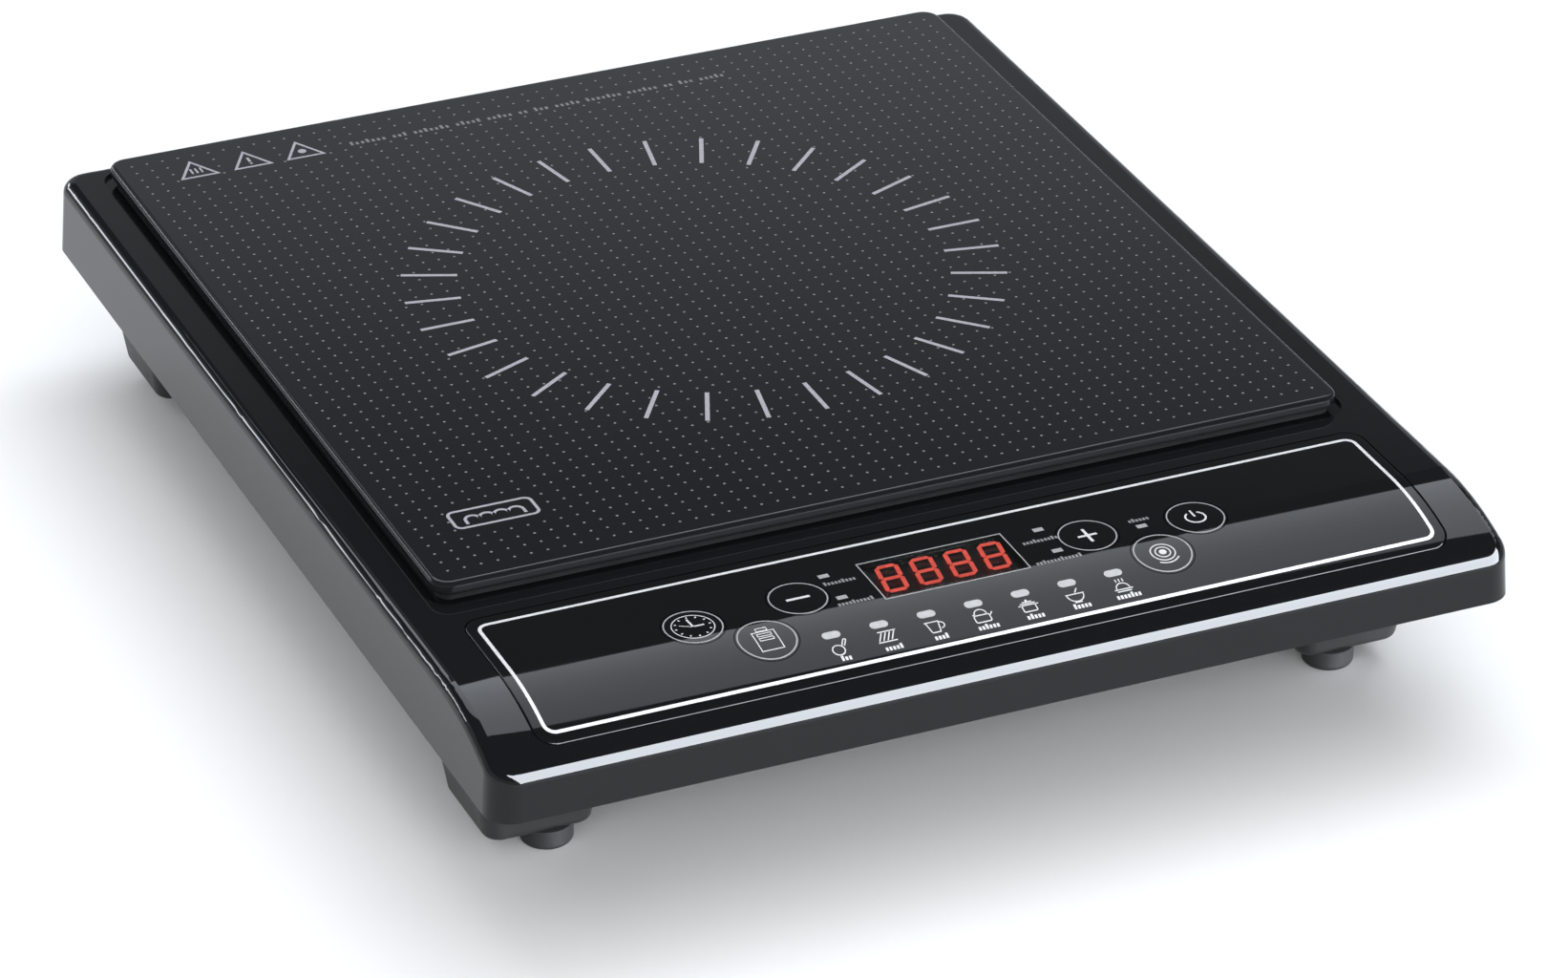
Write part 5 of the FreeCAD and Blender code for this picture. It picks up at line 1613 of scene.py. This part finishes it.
@dataclass
class PushKey:
    """One round key: its pad, its switch button, a silver ring and a symbol.

    Attributes:
        book: The finishes.
        top: The face that the key follows.
        sign: The symbol on it.
        ring_line: Width of its ring.
        ring_inset: Distance from the pad's edge to the ring.
        pen: Width of the lines of a symbol.
    """

    book: FinishBook
    top: TopFace
    sign: KeySign
    ring_line: float = 0.38 * MM
    ring_inset: float = 0.5 * MM
    pen: float = 0.3 * MM

    def build(self) -> None:
        """Dress the key and print it."""
        name = self.sign.value
        self.book.dress("key_" + name, "switch_button_" + name)
        low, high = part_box("key_" + name)
        x = (low.x + high.x) / 2
        y = (low.y + high.y) / 2
        radius = (high.x - low.x) / 2
        stencil = Stencil()
        stencil.arc(x, y, radius - self.ring_inset - self.ring_line / 2, self.ring_line, steps=72)
        self._lay(stencil, "ring", self.book.ring_silver_ink)
        stencil = Stencil()
        drawings = {
            KeySign.TIMER: self._timer,
            KeySign.MENU: self._menu,
            KeySign.MINUS: self._minus,
            KeySign.PLUS: self._plus,
            KeySign.HEAT: self._heat,
            KeySign.POWER: self._power,
        }
        drawings[self.sign](stencil, x, y)
        self._lay(stencil, "symbol", self.book.white_ink)

    def _lay(self, stencil: Stencil, part: str, finish: Ink) -> None:
        """Print marks on the key."""
        name = "key_" + self.sign.value
        stencil.lay(name + "_" + part, finish, name, self.top.height, self.top.folds())

    def _timer(self, stencil: Stencil, x: float, y: float) -> None:
        """Draw a clock face.

        Args:
            stencil: The marks to add to.
            x: Centre.
            y: Centre.
        """
        hours = 12
        reach = 4.8 * MM
        stencil.arc(x, y, 5.8 * MM, 0.26 * MM, steps=56)
        for hour in range(hours):
            angle = FULL_TURN * hour / hours
            stencil.bar(x + reach * math.cos(angle), y + reach * math.sin(angle), 0.6 * MM, 0.4 * MM, angle)
        stencil.stroke((x, y), (x - 0.3 * MM, y + 4.0 * MM), 0.55 * MM)
        stencil.stroke((x + 0.28 * MM, y), (x + 3.2 * MM, y), 0.55 * MM)
        stencil.stroke((x - 0.28 * MM, y), (x - 3.4 * MM, y + 1.7 * MM), 0.2 * MM)

    def _menu(self, stencil: Stencil, x: float, y: float) -> None:
        """Draw a clipboard with two boxed lines.

        Args:
            stencil: The marks to add to.
            x: Centre.
            y: Centre.
        """
        stencil.border(x, y - 0.6 * MM, 6.6 * MM, 8.0 * MM, 0.0, self.pen)
        stencil.border(x, y + 4.2 * MM, 3.3 * MM, 1.5 * MM, 0.0, 0.26 * MM)
        for step in (1.9, 0.1):
            stencil.border(x, y + step * MM, 4.2 * MM, 1.3 * MM, 0.0, 0.26 * MM)

    def _minus(self, stencil: Stencil, x: float, y: float) -> None:
        """Draw a level bar."""
        stencil.bar(x, y, 6.8 * MM, 0.95 * MM)

    def _plus(self, stencil: Stencil, x: float, y: float) -> None:
        """Draw a level bar and an upright one in two halves.

        Args:
            stencil: The marks to add to.
            x: Centre.
            y: Centre.
        """
        width = 0.85 * MM
        half = (7.0 * MM - width) / 2
        stencil.bar(x, y, 5.6 * MM, width)
        for side in (-1, 1):
            stencil.bar(x, y + side * (width + half) / 2, width, half)

    def _heat(self, stencil: Stencil, x: float, y: float) -> None:
        """Draw a round plate in a pan with a short handle.

        Args:
            stencil: The marks to add to.
            x: Centre.
            y: Centre.
        """
        stencil.arc(x, y, 3.4 * MM, 0.36 * MM, steps=40)
        stencil.arc(x, y, 2.1 * MM, 0.36 * MM, steps=32)
        stencil.disc(x, y, 1.05 * MM)
        stencil.arc(x, y, 4.5 * MM, 0.4 * MM, math.radians(235), math.radians(85), 16)

    def _power(self, stencil: Stencil, x: float, y: float) -> None:
        """Draw an open ring with a bar in its gap.

        Args:
            stencil: The marks to add to.
            x: Centre.
            y: Centre.
        """
        gap = math.radians(62)
        stencil.arc(x, y, 2.8 * MM, 0.55 * MM, math.pi / 2 + gap / 2, FULL_TURN - gap, 32)
        stencil.bar(x, y + 2.1 * MM, 0.55 * MM, 3.4 * MM)


# ---------------------------------------------------------------- cases and insides


@dataclass
class Casing:
    """Gloss upper housing and matt bottom case, with feet, gland and screws.

    Attributes:
        book: The finishes.
        nodes: The pieces.
    """

    book: FinishBook
    nodes: tuple[str, ...] = (
        "upper_housing", "bottom_case", "case_closing_screws", "cord_gland",
        "foot_front_left", "foot_front_right", "foot_rear_left", "foot_rear_right",
    )

    def build(self) -> None:
        """Dress the shells and what is fixed to them."""
        self.book.dress(*self.nodes)


@dataclass
class CoilPack:
    """Induction coil on its former, with ferrites, sheet, sensor and leads.

    Attributes:
        book: The finishes.
        nodes: The pieces.
    """

    book: FinishBook
    nodes: tuple[str, ...] = (
        "coil_winding", "coil_former", "ferrite_bars", "mica_disc", "sensor_holder",
        "heat_sensor", "coil_screws", "coil_leads", "coil_terminals",
    )

    def build(self) -> None:
        """Dress the coil and its parts."""
        self.book.dress(*self.nodes)


@dataclass
class FanUnit:
    """Cooling fan: frame, motor, rotor, shaft and screws.

    Attributes:
        book: The finishes.
        nodes: The pieces.
    """

    book: FinishBook
    nodes: tuple[str, ...] = ("fan_frame", "fan_motor", "fan_rotor", "fan_shaft", "fan_screws")

    def build(self) -> None:
        """Dress the fan."""
        self.book.dress(*self.nodes)


@dataclass
class Electronics:
    """Control board under the panel and power board in the bottom case.

    Attributes:
        book: The finishes.
        nodes: The pieces.
    """

    book: FinishBook
    nodes: tuple[str, ...] = (
        "switch_bodies", "control_board", "control_board_screws", "indicator_leds", "buzzer",
        "control_chip", "ribbon_connectors", "ribbon_cable", "power_board", "power_board_screws",
        "heat_sink", "switching_transistor", "bridge_rectifier", "resonant_capacitor", "filter_capacitor",
        "mains_capacitor", "choke", "electrolytic_capacitors", "transformer", "fuse",
    )

    def build(self) -> None:
        """Dress both boards and their parts."""
        self.book.dress(*self.nodes)


# ---------------------------------------------------------------- studio


def towards(azimuth: float, elevation: float) -> Vector:
    """Return the unit vector at an azimuth from +Y towards +X, and an elevation, in degrees.

    Args:
        azimuth: Angle from +Y towards +X, in degrees.
        elevation: Angle above the floor, in degrees.

    Returns:
        The vector.
    """
    side = math.radians(azimuth)
    rise = math.radians(elevation)
    return Vector((math.sin(side) * math.cos(rise), math.cos(side) * math.cos(rise), math.sin(rise)))


@dataclass(frozen=True)
class SoftBox:
    """A rectangular light that faces the cooktop.

    Attributes:
        name: Its name.
        azimuth: Where it stands, in degrees from +Y towards +X.
        elevation: Its height, in degrees.
        distance: Its distance.
        width: Its level side.
        height: Its other side.
        radiance: Its brightness.
        tint: Its colour.
        in_gloss: Whether gloss surfaces reflect it.
        on_matt: Whether it lights matt surfaces.
        flagged: Start of the names of the pieces that a flag shades from it.
    """

    name: str
    azimuth: float
    elevation: float
    distance: float
    width: float
    height: float
    radiance: float
    tint: tuple[float, float, float] = (0.93, 0.98, 1.06)
    in_gloss: bool = True
    on_matt: bool = True
    flagged: str = ""

    def build(self) -> None:
        """Hang the light."""
        light = bpy.data.lights.new(self.name, "AREA")
        light.shape = "RECTANGLE"
        light.size = self.width
        light.size_y = self.height
        light.color = self.tint
        light.energy = self.radiance * math.pi * self.width * self.height
        lamp = bpy.data.objects.new(self.name, light)
        away = towards(self.azimuth, self.elevation)
        turn = away.to_track_quat("Z", "Y").to_matrix().to_4x4()
        lamp.matrix_world = Matrix.Translation(away * self.distance) @ turn
        lamp.visible_glossy = self.in_gloss
        lamp.visible_diffuse = self.on_matt
        bpy.context.scene.collection.objects.link(lamp)
        if self.flagged:
            self._flag(lamp)

    def _flag(self, lamp: bpy.types.Object) -> None:
        """Shade the flagged pieces from the light.

        Args:
            lamp: The light.
        """
        shaded = bpy.data.collections.new(self.name + "_flag")
        for piece in bpy.context.scene.objects:
            if piece.name.startswith(self.flagged):
                shaded.objects.link(piece)
        for row in shaded.collection_objects:
            row.light_linking.link_state = "EXCLUDE"
        lamp.light_linking.receiver_collection = shaded


@dataclass(frozen=True)
class PaleFloor(Finish):
    """Smooth pale paper.

    Attributes:
        colour: The main colour.
        second: The colour of its slow mottling.
    """

    colour: Colour = grey(0.86)
    second: Colour = grey(0.84)

    def sockets(self, graph: Graph) -> dict[str, Any]:
        """Return what feeds the Principled shader.

        Args:
            graph: The graph that the nodes go into.

        Returns:
            The inputs by name.
        """
        return {
            "Base Color": graph.blend(graph.noise(0.3, 2.0), self.colour, self.second),
            "Roughness": graph.noise(0.05, 2.0) * 0.1 + 0.7,
            "Specular IOR Level": 0.1,
        }


@dataclass
class Studio:
    """Pale floor, soft lights and the camera.

    Attributes:
        floor_side: Side of the square floor.
        room_low: Brightness of the room at table height.
        room_high: Brightness of the room above the lights.
        room_tint: Colour of the room.
        ramp_start: Where the room starts to darken, 0 straight down to 1 straight up.
        ramp_end: Where it is dark.
        azimuth: Where the camera stands, in degrees from -Y towards +X.
        elevation: How far it looks down, in degrees.
        roll: Its turn about its own axis, in degrees.
        aim: The point that it looks at.
        distance: Its distance from that point.
        lens: Focal length in millimetres on a 36 mm wide film.
        film_width: Width of the camera's film in millimetres.
        lights: The lights.
    """

    floor_side: float = 14.0
    room_low: float = 0.58
    room_high: float = 0.06
    room_tint: tuple[float, float, float] = (0.94, 1.0, 1.05)
    ramp_start: float = 0.42
    ramp_end: float = 0.495
    azimuth: float = -23.895
    elevation: float = 29.507
    roll: float = 0.387
    aim: tuple[float, float, float] = (-46.03 * MM, -127.24 * MM, 87.68 * MM)
    distance: float = 1.77205
    lens: float = 153.47
    film_width: float = 36.0
    lights: tuple[SoftBox, ...] = field(default=(
        SoftBox("back_box", 30.0, 54.0, 2.6, 3.4, 1.34, 3.6),
        SoftBox("front_box", 146.0, 38.0, 2.4, 2.8, 3.0, 38.0, on_matt=False, flagged="glass_"),
        SoftBox("left_strip", -32.0, 17.0, 3.0, 2.2, 0.35, 12.0, on_matt=False),
        SoftBox("overhead_fill", 0.0, 89.9, 2.8, 5.6, 5.6, 0.85, NEUTRAL, in_gloss=False),
        SoftBox("low_fill", 205.0, 22.0, 2.6, 4.0, 1.6, 3.0, NEUTRAL, in_gloss=False),
    ))

    def build(self) -> None:
        """Set up the floor, the room, the lights and the camera."""
        self._floor()
        self._room()
        for light in self.lights:
            light.build()
        self._camera()
        bpy.context.scene.view_settings.view_transform = "Standard"

    def _floor(self) -> None:
        """Lay the floor that the feet stand on."""
        mesh = bmesh.new()
        bmesh.ops.create_grid(mesh, x_segments=4, y_segments=4, size=self.floor_side / 2)
        shape = bpy.data.meshes.new("floor")
        mesh.to_mesh(shape)
        mesh.free()
        shape.materials.append(PaleFloor("pale_floor").material)
        floor = bpy.data.objects.new("floor", shape)
        bpy.context.scene.collection.objects.link(floor)

    def _room(self) -> None:
        """Fill the room round the lights with a grey that darkens from table height up."""
        world = bpy.data.worlds.new("studio_room")
        world.use_nodes = True
        tree = world.node_tree
        place = tree.nodes.new("ShaderNodeTexCoord")
        split = tree.nodes.new("ShaderNodeSeparateXYZ")
        ramp = tree.nodes.new("ShaderNodeValToRGB")
        tree.links.new(place.outputs["Generated"], split.inputs["Vector"])
        tree.links.new(split.outputs["Z"], ramp.inputs["Fac"])
        tree.links.new(ramp.outputs["Color"], tree.nodes["Background"].inputs["Color"])
        ramp.color_ramp.elements[0].position = self.ramp_start
        ramp.color_ramp.elements[0].color = grey(self.room_low, self.room_tint)
        ramp.color_ramp.elements[1].position = self.ramp_end
        ramp.color_ramp.elements[1].color = grey(self.room_high, self.room_tint)
        bpy.context.scene.world = world

    def _camera(self) -> None:
        """Stand the camera at its place."""
        side = math.radians(self.azimuth)
        rise = math.radians(self.elevation)
        roll = math.radians(self.roll)
        back = Vector((
            math.sin(side) * math.cos(rise), -math.cos(side) * math.cos(rise), math.sin(rise)))
        level = Vector((0.0, 0.0, 1.0)).cross(back).normalized()
        upright = back.cross(level)
        right = level * math.cos(roll) + upright * math.sin(roll)
        up = upright * math.cos(roll) - level * math.sin(roll)
        data = bpy.data.cameras.new("camera")
        data.lens = self.lens
        data.sensor_width = self.film_width
        camera = bpy.data.objects.new("camera", data)
        turn = Matrix((right, up, back)).transposed().to_4x4()
        camera.matrix_world = Matrix.Translation(Vector(self.aim) + back * self.distance) @ turn
        bpy.context.scene.collection.objects.link(camera)
        bpy.context.scene.camera = camera


def main() -> None:
    """Build every sub-assembly in order, then the studio round them."""
    logging.basicConfig(level=logging.INFO, format="%(name)s: %(message)s")
    housing_low, housing_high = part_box("upper_housing")
    book = FinishBook(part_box("glass_plate")[1].z)
    top = TopFace(housing_low.y, housing_high.z)
    Casing(book).build()
    GlassPlate(book).build()
    ControlPanel(book, top).build()
    Display(book, top).build()
    for sign in KeySign:
        PushKey(book, top, sign).build()
    CoilPack(book).build()
    FanUnit(book).build()
    Electronics(book).build()
    Studio().build()


if __name__ == "__main__":
    main()
